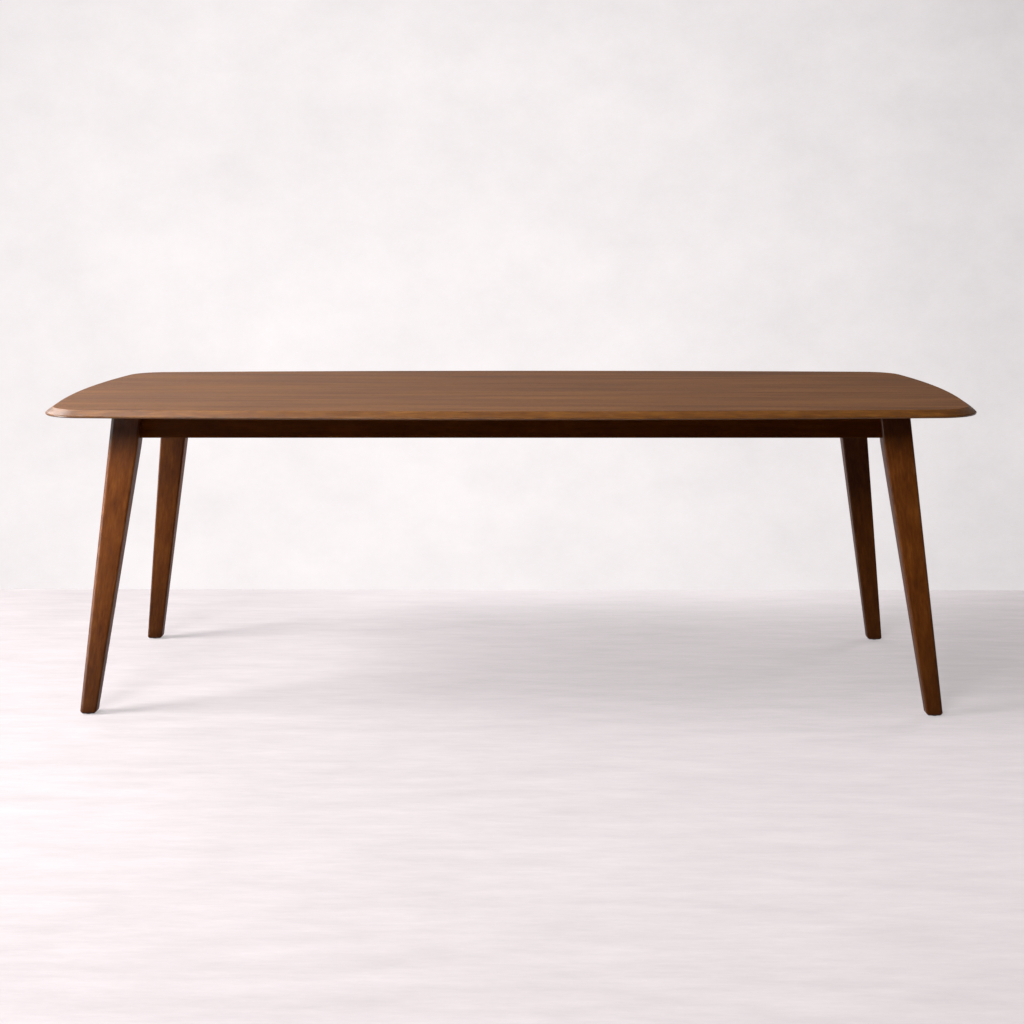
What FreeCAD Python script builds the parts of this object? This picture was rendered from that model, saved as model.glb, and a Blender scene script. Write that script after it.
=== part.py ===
import FreeCAD, Part
import math
import os

# Dining table: a boat-shaped top with a bevelled edge, on four splayed and tapered legs with recessed aprons.
# Millimetres. The origin is on the floor under the middle of the top, +X along the length, +Z up.
# The front is the side that faces -Y. Shapes are made for the +X +Y quarter and mirrored into the others.

# Overall size
table_length = 2222.0
table_width = 1000.0
table_height = 750.0

# Outline of the top: how far the sides and ends bow out, and the round that joins them
side_bow = 43.0
end_bow = 50.0
corner_radius = 108.0

# Layers and edge of the top
top_thickness = 18.0
veneer_thickness = 0.6
bevel_width = 19.0
nose_radius = 3.5
lipping_width = 42.0
tongue_depth = 8.0
tongue_thickness = 6.0

# Legs: how far the top reaches past their heads, how far they splay out to the floor, sections and edges
end_overhang = 165.0
side_overhang = 194.0
leg_splay_length = 95.0
leg_splay_width = 69.0
leg_head_length = 71.0
leg_head_width = 51.0
foot_length = 40.0
foot_width = 34.0
shoulder_drop = 17.0
shoulder_bend = 12.0
leg_outer_round = 10.0
leg_inner_round = 5.0
foot_chamfer = 5.0
leg_flat_depth = 15.0

# Aprons, set back from the outer faces of the leg heads
apron_height = 68.0
apron_thickness = 22.0
apron_edge_round = 2.0
side_apron_setback = 9.5
end_apron_setback = 30.0

# Corner blocks, with a gap that lets the bolts draw the leg tight
block_thickness = 24.0
block_height = 52.0
draw_gap = 3.0

# Cross rails that carry the middle of the top, with stub tenons; the outer two are set in from the end aprons
rail_setback = 334.0
rail_width = 60.0
rail_thickness = 22.0
tenon_length = 10.0
tenon_width = 40.0
tenon_thickness = 10.0

# Hanger bolts with their washers and nuts
bolt_radius = 4.0
bolt_spacing = 24.0
bolt_depth = 38.0
bolt_point = 5.0
bolt_tail = 4.0
washer_radius = 8.0
washer_thickness = 1.6
nut_across_flats = 13.0
nut_height = 6.5

# Wood screws
screw_radius = 2.0
screw_point = 3.0
screw_bite = 13.0
screw_head_radius = 4.0
screw_head_height = 2.6
block_screw_spacing = 30.0
rail_counterbore = 8.0

# Steel angle brackets between the aprons and the top
bracket_leg = 26.0
bracket_width = 18.0
bracket_thickness = 2.0
bracket_bend = 3.0
bracket_slot = 8.0

# Nail-in foot glides
glide_radius = 9.0
glide_height = 2.0
glide_chamfer = 0.7
glide_pin_radius = 1.5
glide_pin_length = 14.0

# Fits: glued joints, drilled holes, and how far a cutter runs past what it cuts
joint_clearance = 0.2
hole_clearance = 0.1
overrun = 5.0

# Places as shares of the piece that carries them
block_screw_share = 0.35
rail_screw_share = 0.55
bracket_hole_share = 0.62

# Angles
full_turn = 360.0
hexagon_sides = 6

# Heights and places that follow from the sizes above
underside = table_height - top_thickness
face_seam = table_height - veneer_thickness
backing_seam = underside + veneer_thickness
top_middle = table_height - top_thickness / 2
apron_bottom = underside - apron_height
apron_middle = underside - apron_height / 2
shoulder_height = apron_bottom - shoulder_drop
head_spread_length = table_length - 2 * end_overhang
head_spread_width = table_width - 2 * side_overhang
foot_spread_length = head_spread_length + 2 * leg_splay_length
foot_spread_width = head_spread_width + 2 * leg_splay_width
side_apron_face = head_spread_width / 2 - side_apron_setback
side_apron_back = side_apron_face - apron_thickness
end_apron_face = head_spread_length / 2 - end_apron_setback
end_apron_back = end_apron_face - apron_thickness

# Directions
up = FreeCAD.Vector(0, 0, 1)
along_x = FreeCAD.Vector(1, 0, 0)
along_y = FreeCAD.Vector(0, 1, 0)
diagonal = FreeCAD.Vector(1, 1, 0).normalize()
floor_middle = FreeCAD.Vector(0, 0, 0)

# The four quarters of the table, with the signs of their X and Y
quarters = {
    "front_left": (-1, -1),
    "front_right": (1, -1),
    "back_left": (-1, 1),
    "back_right": (1, 1),
}


def point(x, y, z):
    """A place in space."""
    return FreeCAD.Vector(x, y, z)


def mirrored(shape, side_x, side_y):
    """The shape of the +X +Y quarter, carried to the quarter with the given signs."""
    if side_x < 0:
        shape = shape.mirror(floor_middle, along_x)
    if side_y < 0:
        shape = shape.mirror(floor_middle, along_y)
    return shape


def prism(points, direction):
    """A solid swept straight from a flat polygon."""
    return Part.Face(Part.makePolygon(points + points[:1])).extrude(direction)


def cylinder(radius, start, axis, length):
    """A round bar from a start point along an axis."""
    return Part.makeCylinder(radius, length, start, axis)


def pointing(shape, start, axis):
    """A shape made along +Z from the origin, turned to an axis and set at a start point."""
    shape = shape.copy()
    shape.Placement = FreeCAD.Placement(start, FreeCAD.Rotation(up, axis))
    return shape


def turned(outline):
    """A solid of revolution about +Z from points of radius and height."""
    points = [point(radius, 0, height) for radius, height in outline]
    return Part.Face(Part.makePolygon(points + points[:1])).revolve(floor_middle, up, full_turn)


# Outline of the top

def bow_radius(half_chord, bow):
    """Radius of the arc that rises by the bow over half its chord."""
    return (half_chord ** 2 + bow ** 2) / (2 * bow)


side_radius = bow_radius(table_length / 2, side_bow)
end_radius = bow_radius(table_width / 2, end_bow)
side_centre = point(0, table_width / 2 - side_radius, 0)
end_centre = point(table_length / 2 - end_radius, 0, 0)


def corner_arc_centre():
    """Centre of the corner arc that touches the side arc and the end arc from inside."""
    from_side = side_radius - corner_radius
    from_end = end_radius - corner_radius
    line = end_centre - side_centre
    span = line.Length
    line.normalize()
    reach = (from_side ** 2 - from_end ** 2 + span ** 2) / (2 * span)
    rise = math.sqrt(from_side ** 2 - reach ** 2)
    return side_centre + line * reach + point(line.y, -line.x, 0) * rise


corner_centre = corner_arc_centre()
side_touch = math.atan2(corner_centre.y - side_centre.y, corner_centre.x - side_centre.x)
end_touch = math.atan2(corner_centre.y - end_centre.y, corner_centre.x - end_centre.x)
mitre_angle = (side_touch + end_touch) / 2


def arc(centre, radius, start, stop, height):
    """An arc about a vertical axis, between two angles, at a height."""
    places = []
    for angle in (start, (start + stop) / 2, stop):
        spoke = point(math.cos(angle), math.sin(angle), 0)
        places.append(centre + spoke * radius + up * height)
    return Part.Arc(*places).toShape()


def top_outline(inset, height):
    """The closed outline of the top, pulled in by an inset, at a height."""
    corner = arc(corner_centre, corner_radius - inset, side_touch, end_touch, height)
    side = arc(side_centre, side_radius - inset, math.pi - side_touch, side_touch, height)
    end = arc(end_centre, end_radius - inset, end_touch, -end_touch, height)
    edges = [mirrored(corner, side_x, side_y) for side_x, side_y in quarters.values()]
    edges += [side, mirrored(side, 1, -1), end, mirrored(end, -1, 1)]
    return Part.Wire(Part.__sortEdges__(edges))


def top_slab(inset, bottom, top):
    """A flat slab of the top between two heights."""
    return Part.Face(top_outline(inset, bottom)).extrude(up * (top - bottom))


# Edge of the top: a bevel that runs from the arris down to a round nose
nose_height = underside + nose_radius


def bevel_foot():
    """Inset and height where the bevel touches the nose."""
    run = bevel_width - nose_radius
    rise = table_height - nose_height
    reach = math.hypot(run, rise)
    angle = math.atan2(rise, -run) - math.acos(nose_radius / reach)
    return nose_radius * (1 - math.cos(angle)), nose_height + nose_radius * math.sin(angle)


bevel_foot_inset, bevel_foot_height = bevel_foot()
bevel_slope_share = (bevel_width - bevel_foot_inset) / (table_height - bevel_foot_height)
face_seam_inset = bevel_width - veneer_thickness * bevel_slope_share
backing_seam_inset = nose_radius - math.sqrt(nose_radius ** 2 - (nose_radius - veneer_thickness) ** 2)


def lipping_profile(radius):
    """Section of the lipping, standing at a radius from the axis that it is swept about."""
    def at(inset, height):
        return point(radius - inset, 0, height)

    tongue_inset = lipping_width + tongue_depth
    tongue_low = top_middle - tongue_thickness / 2
    tongue_high = top_middle + tongue_thickness / 2
    corners = [
        at(backing_seam_inset, backing_seam),
        at(lipping_width, backing_seam),
        at(lipping_width, tongue_low),
        at(tongue_inset, tongue_low),
        at(tongue_inset, tongue_high),
        at(lipping_width, tongue_high),
        at(lipping_width, face_seam),
        at(face_seam_inset, face_seam),
        at(bevel_foot_inset, bevel_foot_height),
    ]
    edges = list(Part.makePolygon(corners).Edges)
    edges.append(Part.Arc(corners[-1], at(0, nose_height), corners[0]).toShape())
    return Part.Face(Part.Wire(edges))


def lipping_stretch(centre, radius, start, stop):
    """One stretch of lipping, swept about a vertical axis between two angles."""
    face = lipping_profile(radius)
    face.rotate(floor_middle, up, math.degrees(start))
    face.translate(centre)
    return face.revolve(centre, up, math.degrees(stop - start))


def side_lipping():
    """The lipping of the +Y side, mitred in the middle of its two corners."""
    bow = lipping_stretch(side_centre, side_radius, side_touch, math.pi - side_touch)
    corner = lipping_stretch(corner_centre, corner_radius, mitre_angle, side_touch)
    return bow.fuse([corner, mirrored(corner, -1, 1)]).removeSplitter()


def end_lipping():
    """The lipping of the +X end, mitred in the middle of its two corners."""
    bow = lipping_stretch(end_centre, end_radius, -end_touch, end_touch)
    corner = lipping_stretch(corner_centre, corner_radius, end_touch, mitre_angle)
    return bow.fuse([corner, mirrored(corner, 1, -1)]).removeSplitter()


def top_core():
    """The core board, grooved all round for the tongue of the lippings."""
    groove_inset = lipping_width + tongue_depth + joint_clearance
    groove_low = top_middle - tongue_thickness / 2 - joint_clearance
    groove_high = top_middle + tongue_thickness / 2 + joint_clearance
    lower = top_slab(lipping_width, backing_seam, groove_low)
    middle = top_slab(groove_inset, groove_low, groove_high)
    upper = top_slab(lipping_width, groove_high, face_seam)
    return lower.fuse([middle, upper]).removeSplitter()


def face_veneer():
    """The show veneer, cut back with the bevel."""
    sheet = [top_outline(face_seam_inset, face_seam), top_outline(bevel_width, table_height)]
    return Part.makeLoft(sheet, True, True)


def backing_veneer():
    """The balancing veneer under the top, cut back with the nose."""
    sheet = [top_outline(nose_radius, underside), top_outline(backing_seam_inset, backing_seam)]
    return Part.makeLoft(sheet, True, True)


# Legs: spread at the floor and under the top, then head and foot sizes, across the length and the width
leg_sizes_x = (foot_spread_length, head_spread_length, leg_head_length, foot_length)
leg_sizes_y = (foot_spread_width, head_spread_width, leg_head_width, foot_width)


def leg_outer(foot_spread, head_spread, height):
    """Distance of a leg's outer face from the middle of the table at a height."""
    lean_share = (foot_spread - head_spread) / (2 * underside)
    return foot_spread / 2 - lean_share * height


def head_inner_x(height):
    """The leg head's inner face across the length, parallel to its outer face."""
    return leg_outer(foot_spread_length, head_spread_length, height) - leg_head_length


def head_inner_y(height):
    """The leg head's inner face across the width, parallel to its outer face."""
    return leg_outer(foot_spread_width, head_spread_width, height) - leg_head_width


def foot_inner(sizes, height):
    """The inner face below the shoulder, which tapers to the foot."""
    foot_spread, head_spread, head_size, foot_size = sizes
    shoulder = leg_outer(foot_spread, head_spread, shoulder_height) - head_size
    floor = foot_spread / 2 - foot_size
    return floor + (shoulder - floor) * height / shoulder_height


def leg_side(sizes, across, sweep):
    """A leg sawn to one of its two side profiles: straight outside, a soft bend at the shoulder inside."""
    foot_spread, head_spread, head_size, foot_size = sizes

    def at(distance, height):
        return across * distance + up * height

    def outside(height):
        return at(leg_outer(foot_spread, head_spread, height), height)

    def inside_head(height):
        return at(leg_outer(foot_spread, head_spread, height) - head_size, height)

    def inside_foot(height):
        return at(foot_inner(sizes, height), height)

    bend = Part.BezierCurve()
    bend_top = shoulder_height + shoulder_bend
    bend_low = shoulder_height - shoulder_bend
    bend.setPoles([inside_head(bend_top), inside_head(shoulder_height), inside_foot(bend_low)])
    outer_path = [inside_foot(bend_low), inside_foot(glide_height), outside(glide_height), outside(underside)]
    outer_path += [inside_head(underside), inside_head(bend_top)]
    edges = list(Part.makePolygon(outer_path).Edges) + [bend.toShape()]
    return Part.Face(Part.Wire(Part.__sortEdges__(edges))).extrude(sweep)


def is_long(edge):
    """True for an edge that runs along the leg."""
    return edge.BoundBox.ZLength > shoulder_bend


def outer_corner(shape):
    """The long edge where the leg's two outer faces meet, the one farthest out along the diagonal."""
    return max(filter(is_long, shape.Edges), key=lambda edge: edge.CenterOfMass.dot(diagonal))


def round_leg_edges(shape):
    """Rounds the long edges of a leg, the outer corner more than the other three."""
    corner = outer_corner(shape)
    others = [edge for edge in shape.Edges if is_long(edge) and not edge.isSame(corner)]
    shape = shape.makeFillet(leg_inner_round, others)
    return shape.makeFillet(leg_outer_round, [outer_corner(shape)])


def foot_wedges():
    """Four wedges that take the sharp rim off the foot, one for each side."""
    wedges = []
    top = glide_height + foot_chamfer
    sides = [(leg_sizes_x, along_x, along_y * table_width), (leg_sizes_y, along_y, along_x * table_length)]
    for sizes, across, sweep in sides:
        outside = leg_outer(sizes[0], sizes[1], top)
        inside = foot_inner(sizes, top)
        for face, outwards in ((outside, 1), (inside, -1)):
            high = across * (face + outwards * foot_chamfer) + up * (top + foot_chamfer)
            low = across * (face - outwards * 2 * foot_chamfer) + up * (glide_height - foot_chamfer)
            rim = across * (face + outwards * foot_chamfer) + up * (glide_height - foot_chamfer)
            wedges.append(prism([high, low, rim], sweep))
    return wedges


def leg():
    """One leg with its rounded edges, foot, head flat, bolt holes and glide hole."""
    across_x = leg_side(leg_sizes_x, along_x, along_y * table_width)
    across_y = leg_side(leg_sizes_y, along_y, along_x * table_length)
    shape = round_leg_edges(across_x.common(across_y))
    shape = shape.cut(foot_wedges())
    pin_hole = glide_pin_radius + hole_clearance
    cutters = [head_flat_cutter(), cylinder(pin_hole, glide_place(), up, glide_height + glide_pin_length)]
    bolt_hole = bolt_radius + hole_clearance
    for start in bolt_starts(flat_distance - overrun):
        cutters.append(cylinder(bolt_hole, start, diagonal, overrun + bolt_depth + hole_clearance))
    return shape.cut(cutters)


# Corner of the frame: the flat on the leg, the block and its bolts, measured along the diagonal
leg_corner = point(head_inner_x(apron_middle), head_inner_y(apron_middle), 0)
flat_distance = leg_corner.dot(diagonal) + leg_flat_depth
block_outer_distance = flat_distance - draw_gap
block_inner_distance = block_outer_distance - block_thickness
block_low = apron_middle - block_height / 2


def on_diagonal(distance, height):
    """A place on the bolts' line at a distance along the diagonal and a height."""
    across = leg_corner - diagonal * leg_corner.dot(diagonal)
    return across + diagonal * distance + up * height


def bolt_starts(distance):
    """A place on each bolt's axis at a distance along the diagonal."""
    heights = (apron_middle - bolt_spacing / 2, apron_middle + bolt_spacing / 2)
    return [on_diagonal(distance, height) for height in heights]


def head_flat_cutter():
    """What is milled off the leg head's inner corner, over the height of the aprons."""
    aside = point(-diagonal.y, diagonal.x, 0) * (leg_head_length + leg_head_width)
    back = diagonal * -(leg_head_length + leg_head_width)
    start = on_diagonal(flat_distance, apron_bottom)
    plan = [start + aside, start - aside, start - aside + back, start + aside + back]
    return prism(plan, up * (apron_height + overrun))


def at_side_apron(distance):
    """Distance along X where a plane across the diagonal meets the side apron's back."""
    return distance * math.sqrt(2) - side_apron_back


def at_end_apron(distance):
    """Distance along Y where a plane across the diagonal meets the end apron's back."""
    return distance * math.sqrt(2) - end_apron_back


def corner_block():
    """A block across the corner, with bolt holes and counterbored screw holes."""
    plan = [
        point(at_side_apron(block_inner_distance), side_apron_back, block_low),
        point(at_side_apron(block_outer_distance), side_apron_back, block_low),
        point(end_apron_back, at_end_apron(block_outer_distance), block_low),
        point(end_apron_back, at_end_apron(block_inner_distance), block_low),
    ]
    shape = prism(plan, up * block_height)
    cutters = []
    bolt_hole = bolt_radius + joint_clearance
    for start in bolt_starts(block_inner_distance - overrun):
        cutters.append(cylinder(bolt_hole, start, diagonal, block_thickness + 2 * overrun))
    for seat, axis, length in block_screw_places():
        cutters.append(cylinder(screw_radius + hole_clearance, seat, axis, length))
        cutters.append(cylinder(screw_head_radius + hole_clearance, seat, axis * -1, block_thickness))
    return shape.cut(cutters)


def block_screw_places():
    """Seat, axis and length of the screws that hold a corner block to its two aprons."""
    seat_depth = screw_head_radius + hole_clearance
    sum_inner = block_inner_distance * math.sqrt(2)
    wide = (block_outer_distance - block_inner_distance) * math.sqrt(2)
    x = at_side_apron(block_inner_distance) + wide * block_screw_share
    y = at_end_apron(block_inner_distance) + wide * block_screw_share
    places = []
    for height in (apron_middle - block_screw_spacing / 2, apron_middle + block_screw_spacing / 2):
        seat_y = sum_inner - x + seat_depth
        seat_x = sum_inner - y + seat_depth
        places.append((point(x, seat_y, height), along_y, side_apron_back - seat_y + screw_bite))
        places.append((point(seat_x, y, height), along_x, end_apron_back - seat_x + screw_bite))
    return places


# Fasteners

def screw(length):
    """A wood screw along +Z, with the underside of its head at the origin."""
    head_edge = screw_head_height / 2
    return turned([
        (0, -screw_head_height),
        (screw_head_radius - head_edge, -screw_head_height),
        (screw_head_radius, -head_edge),
        (screw_head_radius, 0),
        (screw_radius, 0),
        (screw_radius, length - screw_point),
        (0, length),
    ])


def hanger_bolt():
    """A hanger bolt along +Z: machine thread at the nut end, pointed wood thread at the other."""
    nut_end = block_inner_distance - washer_thickness - nut_height - bolt_tail
    length = flat_distance + bolt_depth - nut_end
    return turned([(0, 0), (bolt_radius, 0), (bolt_radius, length - bolt_point), (0, length)])


def washer():
    """A flat washer along +Z."""
    ring = Part.makeCylinder(washer_radius, washer_thickness)
    return ring.cut(Part.makeCylinder(bolt_radius + hole_clearance, washer_thickness))


def nut():
    """A hexagon nut along +Z."""
    reach = nut_across_flats / 2 / math.cos(math.pi / hexagon_sides)
    corners = []
    for number in range(hexagon_sides):
        angle = 2 * math.pi * number / hexagon_sides
        corners.append(point(reach * math.cos(angle), reach * math.sin(angle), 0))
    return prism(corners, up * nut_height).cut(Part.makeCylinder(bolt_radius + hole_clearance, nut_height))


def on_bolts(shape, distance):
    """Copies of a fastener on the bolts of all four corners, at a distance along the diagonal."""
    placed = [pointing(shape, start, diagonal) for start in bolt_starts(distance)]
    return [mirrored(one, side_x, side_y) for side_x, side_y in quarters.values() for one in placed]


def corner_block_screws():
    """The screws of all four corner blocks."""
    placed = [pointing(screw(length), seat, axis) for seat, axis, length in block_screw_places()]
    return [mirrored(one, side_x, side_y) for side_x, side_y in quarters.values() for one in placed]


# Aprons and cross rails

def apron_bar(back, sweep_start, across, sweep):
    """A rail of the frame with its two lower edges rounded, before its ends are cut."""
    face = back + apron_thickness
    ease = apron_edge_round
    slack = ease * (1 - math.sqrt(2) / 2)

    def at(distance, height):
        return sweep_start + across * distance + up * height

    low = apron_bottom
    back_round = Part.Arc(at(back, low + ease), at(back + slack, low + slack), at(back + ease, low))
    face_round = Part.Arc(at(face - ease, low), at(face - slack, low + slack), at(face, low + ease))
    flat = Part.makePolygon([at(back + ease, low), at(face - ease, low)]).Edges
    rest = [at(face, low + ease), at(face, underside), at(back, underside), at(back, low + ease)]
    edges = [back_round.toShape(), face_round.toShape()] + flat + Part.makePolygon(rest).Edges
    return Part.Face(Part.Wire(Part.__sortEdges__(edges))).extrude(sweep)


def side_apron():
    """The apron of the +Y side, its ends cut to the lean of the leg heads."""
    bar = apron_bar(side_apron_back, along_x * (-table_length / 2), along_y, along_x * table_length)
    lower = head_inner_x(apron_bottom)
    upper = head_inner_x(underside)
    feet = [point(-lower, 0, apron_bottom), point(lower, 0, apron_bottom)]
    heads = [point(upper, 0, underside), point(-upper, 0, underside)]
    bar = bar.common(prism(feet + heads, along_y * table_width))
    cutters = []
    for x in rail_places:
        cutters.append(rail_tenons(x, joint_clearance))
    for seat, axis, length in block_screw_places():
        if axis == along_y:
            hole = cylinder(screw_radius + hole_clearance, seat, axis, length)
            cutters += [hole, mirrored(hole, -1, 1)]
    for x in side_bracket_places:
        place = point(x, side_apron_back - overrun, bracket_screw_height)
        cutters.append(cylinder(screw_radius + hole_clearance, place, along_y, overrun + screw_bite))
    return bar.cut(cutters)


def end_apron():
    """The apron of the +X end, its ends cut to the lean of the leg heads."""
    bar = apron_bar(end_apron_back, along_y * (-table_width / 2), along_x, along_y * table_width)
    lower = head_inner_y(apron_bottom)
    upper = head_inner_y(underside)
    feet = [point(0, -lower, apron_bottom), point(0, lower, apron_bottom)]
    heads = [point(0, upper, underside), point(0, -upper, underside)]
    bar = bar.common(prism(feet + heads, along_x * table_length))
    cutters = []
    for seat, axis, length in block_screw_places():
        if axis == along_x:
            hole = cylinder(screw_radius + hole_clearance, seat, axis, length)
            cutters += [hole, mirrored(hole, 1, -1)]
    place = point(end_apron_back - overrun, 0, bracket_screw_height)
    cutters.append(cylinder(screw_radius + hole_clearance, place, along_x, overrun + screw_bite))
    return bar.cut(cutters)


rail_pitch = end_apron_back - rail_setback
rail_places = (-rail_pitch, 0, rail_pitch)
rail_middle = underside - rail_thickness / 2
rail_screw_y = side_apron_back * rail_screw_share
rail_screw_seat = underside - rail_thickness + rail_counterbore


def rail_tenons(x, clearance):
    """A bar that makes both tenons of a rail, or their mortices with a clearance all round."""
    size_x = tenon_width + 2 * clearance
    size_y = 2 * (side_apron_back + tenon_length + clearance)
    size_z = tenon_thickness + 2 * clearance
    corner = point(x - size_x / 2, -size_y / 2, rail_middle - size_z / 2)
    return Part.makeBox(size_x, size_y, size_z, corner)


def cross_rail(x):
    """A flat rail from one side apron to the other, with counterbored holes for its screws."""
    corner = point(x - rail_width / 2, -side_apron_back, underside - rail_thickness)
    shape = Part.makeBox(rail_width, 2 * side_apron_back, rail_thickness, corner)
    shape = shape.fuse(rail_tenons(x, 0)).removeSplitter()
    cutters = []
    for y in (-rail_screw_y, rail_screw_y):
        seat = point(x, y, rail_screw_seat)
        cutters.append(cylinder(screw_radius + hole_clearance, seat, up, rail_thickness))
        cutters.append(cylinder(screw_head_radius + hole_clearance, seat, up * -1, rail_thickness))
    return shape.cut(cutters)


def rail_screws():
    """The screws that run up through the cross rails into the top."""
    length = underside - rail_screw_seat + screw_bite
    places = [point(x, y, rail_screw_seat) for x in rail_places for y in (-rail_screw_y, rail_screw_y)]
    return [pointing(screw(length), place, up) for place in places]


# Brackets between the aprons and the top
bracket_hole = bracket_leg * bracket_hole_share
bracket_screw_height = underside - bracket_hole
outer_bracket_x = (rail_pitch + at_side_apron(block_inner_distance)) / 2
side_bracket_places = (-outer_bracket_x, -rail_pitch / 2, rail_pitch / 2, outer_bracket_x)


def bracket():
    """An angle bracket at the origin: one leg hangs down at X zero, the other lies along +X under the top."""
    thick = bracket_thickness
    half = bracket_width / 2
    outer_slack = bracket_bend * (1 - math.sqrt(2) / 2)
    inner_slack = thick + (bracket_bend - thick) * (1 - math.sqrt(2) / 2)

    def at(x, z):
        return point(x, -half, z)

    outer = Part.Arc(at(0, -bracket_bend), at(outer_slack, -outer_slack), at(bracket_bend, 0))
    inner = Part.Arc(at(thick, -bracket_bend), at(inner_slack, -inner_slack), at(bracket_bend, -thick))
    lying = [at(bracket_bend, 0), at(bracket_leg, 0), at(bracket_leg, -thick), at(bracket_bend, -thick)]
    hanging = [at(thick, -bracket_bend), at(thick, -bracket_leg), at(0, -bracket_leg), at(0, -bracket_bend)]
    edges = [outer.toShape(), inner.toShape()]
    edges += Part.makePolygon(lying).Edges + Part.makePolygon(hanging).Edges
    shape = Part.Face(Part.Wire(Part.__sortEdges__(edges))).extrude(along_y * bracket_width)
    hole = screw_radius + joint_clearance
    travel = bracket_slot / 2 - hole
    through = thick + 2 * overrun
    low = -thick - overrun
    round_hole = cylinder(hole, point(-overrun, 0, -bracket_hole), along_x, through)
    slot_start = cylinder(hole, point(bracket_hole - travel, 0, low), up, through)
    slot_end = cylinder(hole, point(bracket_hole + travel, 0, low), up, through)
    slot_box = Part.makeBox(2 * travel, 2 * hole, through, point(bracket_hole - travel, -hole, low))
    return shape.cut([round_hole, slot_start.fuse([slot_end, slot_box]).removeSplitter()])


def bracket_frames():
    """Place and turn of every bracket: at the backs of the aprons, under the top, facing inwards."""
    frames = []
    for x in side_bracket_places:
        frames.append((point(x, side_apron_back, underside), along_y * -1))
        frames.append((point(x, -side_apron_back, underside), along_y))
    frames.append((point(end_apron_back, 0, underside), along_x * -1))
    frames.append((point(-end_apron_back, 0, underside), along_x))
    return frames


def top_brackets():
    """All the brackets."""
    shapes = []
    for place, inwards in bracket_frames():
        one = bracket()
        one.Placement = FreeCAD.Placement(place, FreeCAD.Rotation(along_x, inwards))
        shapes.append(one)
    return shapes


def bracket_screw_places():
    """Seat and axis of each bracket's two screws: one into the apron, one up into the top."""
    apron_side = []
    top_side = []
    for place, inwards in bracket_frames():
        apron_side.append((place + inwards * bracket_thickness - up * bracket_hole, inwards * -1))
        top_side.append((place + inwards * bracket_hole - up * bracket_thickness, up))
    return apron_side, top_side


def bracket_screws():
    """The screws of all the brackets."""
    apron_side, top_side = bracket_screw_places()
    return [pointing(screw(screw_bite), seat, axis) for seat, axis in apron_side + top_side]


def top_screw_holes():
    """Pilot holes in the underside of the top for the rail screws and the bracket screws."""
    places = [point(x, y, underside - overrun) for x in rail_places for y in (-rail_screw_y, rail_screw_y)]
    places += [point(seat.x, seat.y, underside - overrun) for seat, axis in bracket_screw_places()[1]]
    return [cylinder(screw_radius + hole_clearance, place, up, overrun + screw_bite) for place in places]


# Foot glides

def glide_place():
    """The middle of a foot, on the floor."""
    x = foot_spread_length / 2 - foot_length / 2
    y = foot_spread_width / 2 - foot_width / 2
    return point(x, y, 0)


def foot_glide():
    """A nail-in glide: a disc with an eased rim and a pin that is driven into the foot."""
    pin_top = glide_height + glide_pin_length
    shape = turned([
        (0, 0),
        (glide_radius - glide_chamfer, 0),
        (glide_radius, glide_chamfer),
        (glide_radius, glide_height),
        (glide_pin_radius, glide_height),
        (glide_pin_radius, pin_top - glide_pin_radius),
        (0, pin_top),
    ])
    return pointing(shape, glide_place(), up)


# The pieces under their names

def save(name, solids):
    """Writes one named piece, or one group of like fasteners."""
    shape = solids[0] if len(solids) == 1 else Part.makeCompound(solids)
    shape.exportStep("parts/" + name + ".step")


def main():
    """Makes every piece of the table."""
    os.makedirs("parts", exist_ok=True)
    holes = top_screw_holes()
    save("top_core", [top_core().cut(holes)])
    save("top_face_veneer", [face_veneer()])
    save("top_backing_veneer", [backing_veneer().cut(holes)])
    long_lipping = side_lipping()
    short_lipping = end_lipping()
    long_apron = side_apron()
    short_apron = end_apron()
    save("lipping_back", [long_lipping])
    save("lipping_front", [mirrored(long_lipping, 1, -1)])
    save("lipping_right", [short_lipping])
    save("lipping_left", [mirrored(short_lipping, -1, 1)])
    save("apron_back", [long_apron])
    save("apron_front", [mirrored(long_apron, 1, -1)])
    save("apron_right", [short_apron])
    save("apron_left", [mirrored(short_apron, -1, 1)])
    one_leg = leg()
    one_block = corner_block()
    one_glide = foot_glide()
    for quarter, (side_x, side_y) in quarters.items():
        save("leg_" + quarter, [mirrored(one_leg, side_x, side_y)])
        save("corner_block_" + quarter, [mirrored(one_block, side_x, side_y)])
        save("foot_glide_" + quarter, [mirrored(one_glide, side_x, side_y)])
    for name, x in zip(("left", "middle", "right"), rail_places):
        save("cross_rail_" + name, [cross_rail(x)])
    washer_distance = block_inner_distance - washer_thickness
    nut_distance = washer_distance - nut_height
    save("hanger_bolts", on_bolts(hanger_bolt(), nut_distance - bolt_tail))
    save("bolt_washers", on_bolts(washer(), washer_distance))
    save("bolt_nuts", on_bolts(nut(), nut_distance))
    save("corner_block_screws", corner_block_screws())
    save("rail_screws", rail_screws())
    save("top_brackets", top_brackets())
    save("bracket_screws", bracket_screws())


main()
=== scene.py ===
"""Looks of a dining table with a boat-shaped top on four splayed legs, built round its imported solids.

Metres, in the solids' own frame: the origin is on the floor under the middle of the top, +X along the length,
+Z up, and the front faces -Y. Shapes are worked out for the +X +Y quarter and mirrored into the others.
"""
import logging
import math
from dataclasses import dataclass
from enum import Enum
from typing import Union

import bmesh
import bpy
import numpy as np
from mathutils import Euler, Matrix, Vector


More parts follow.
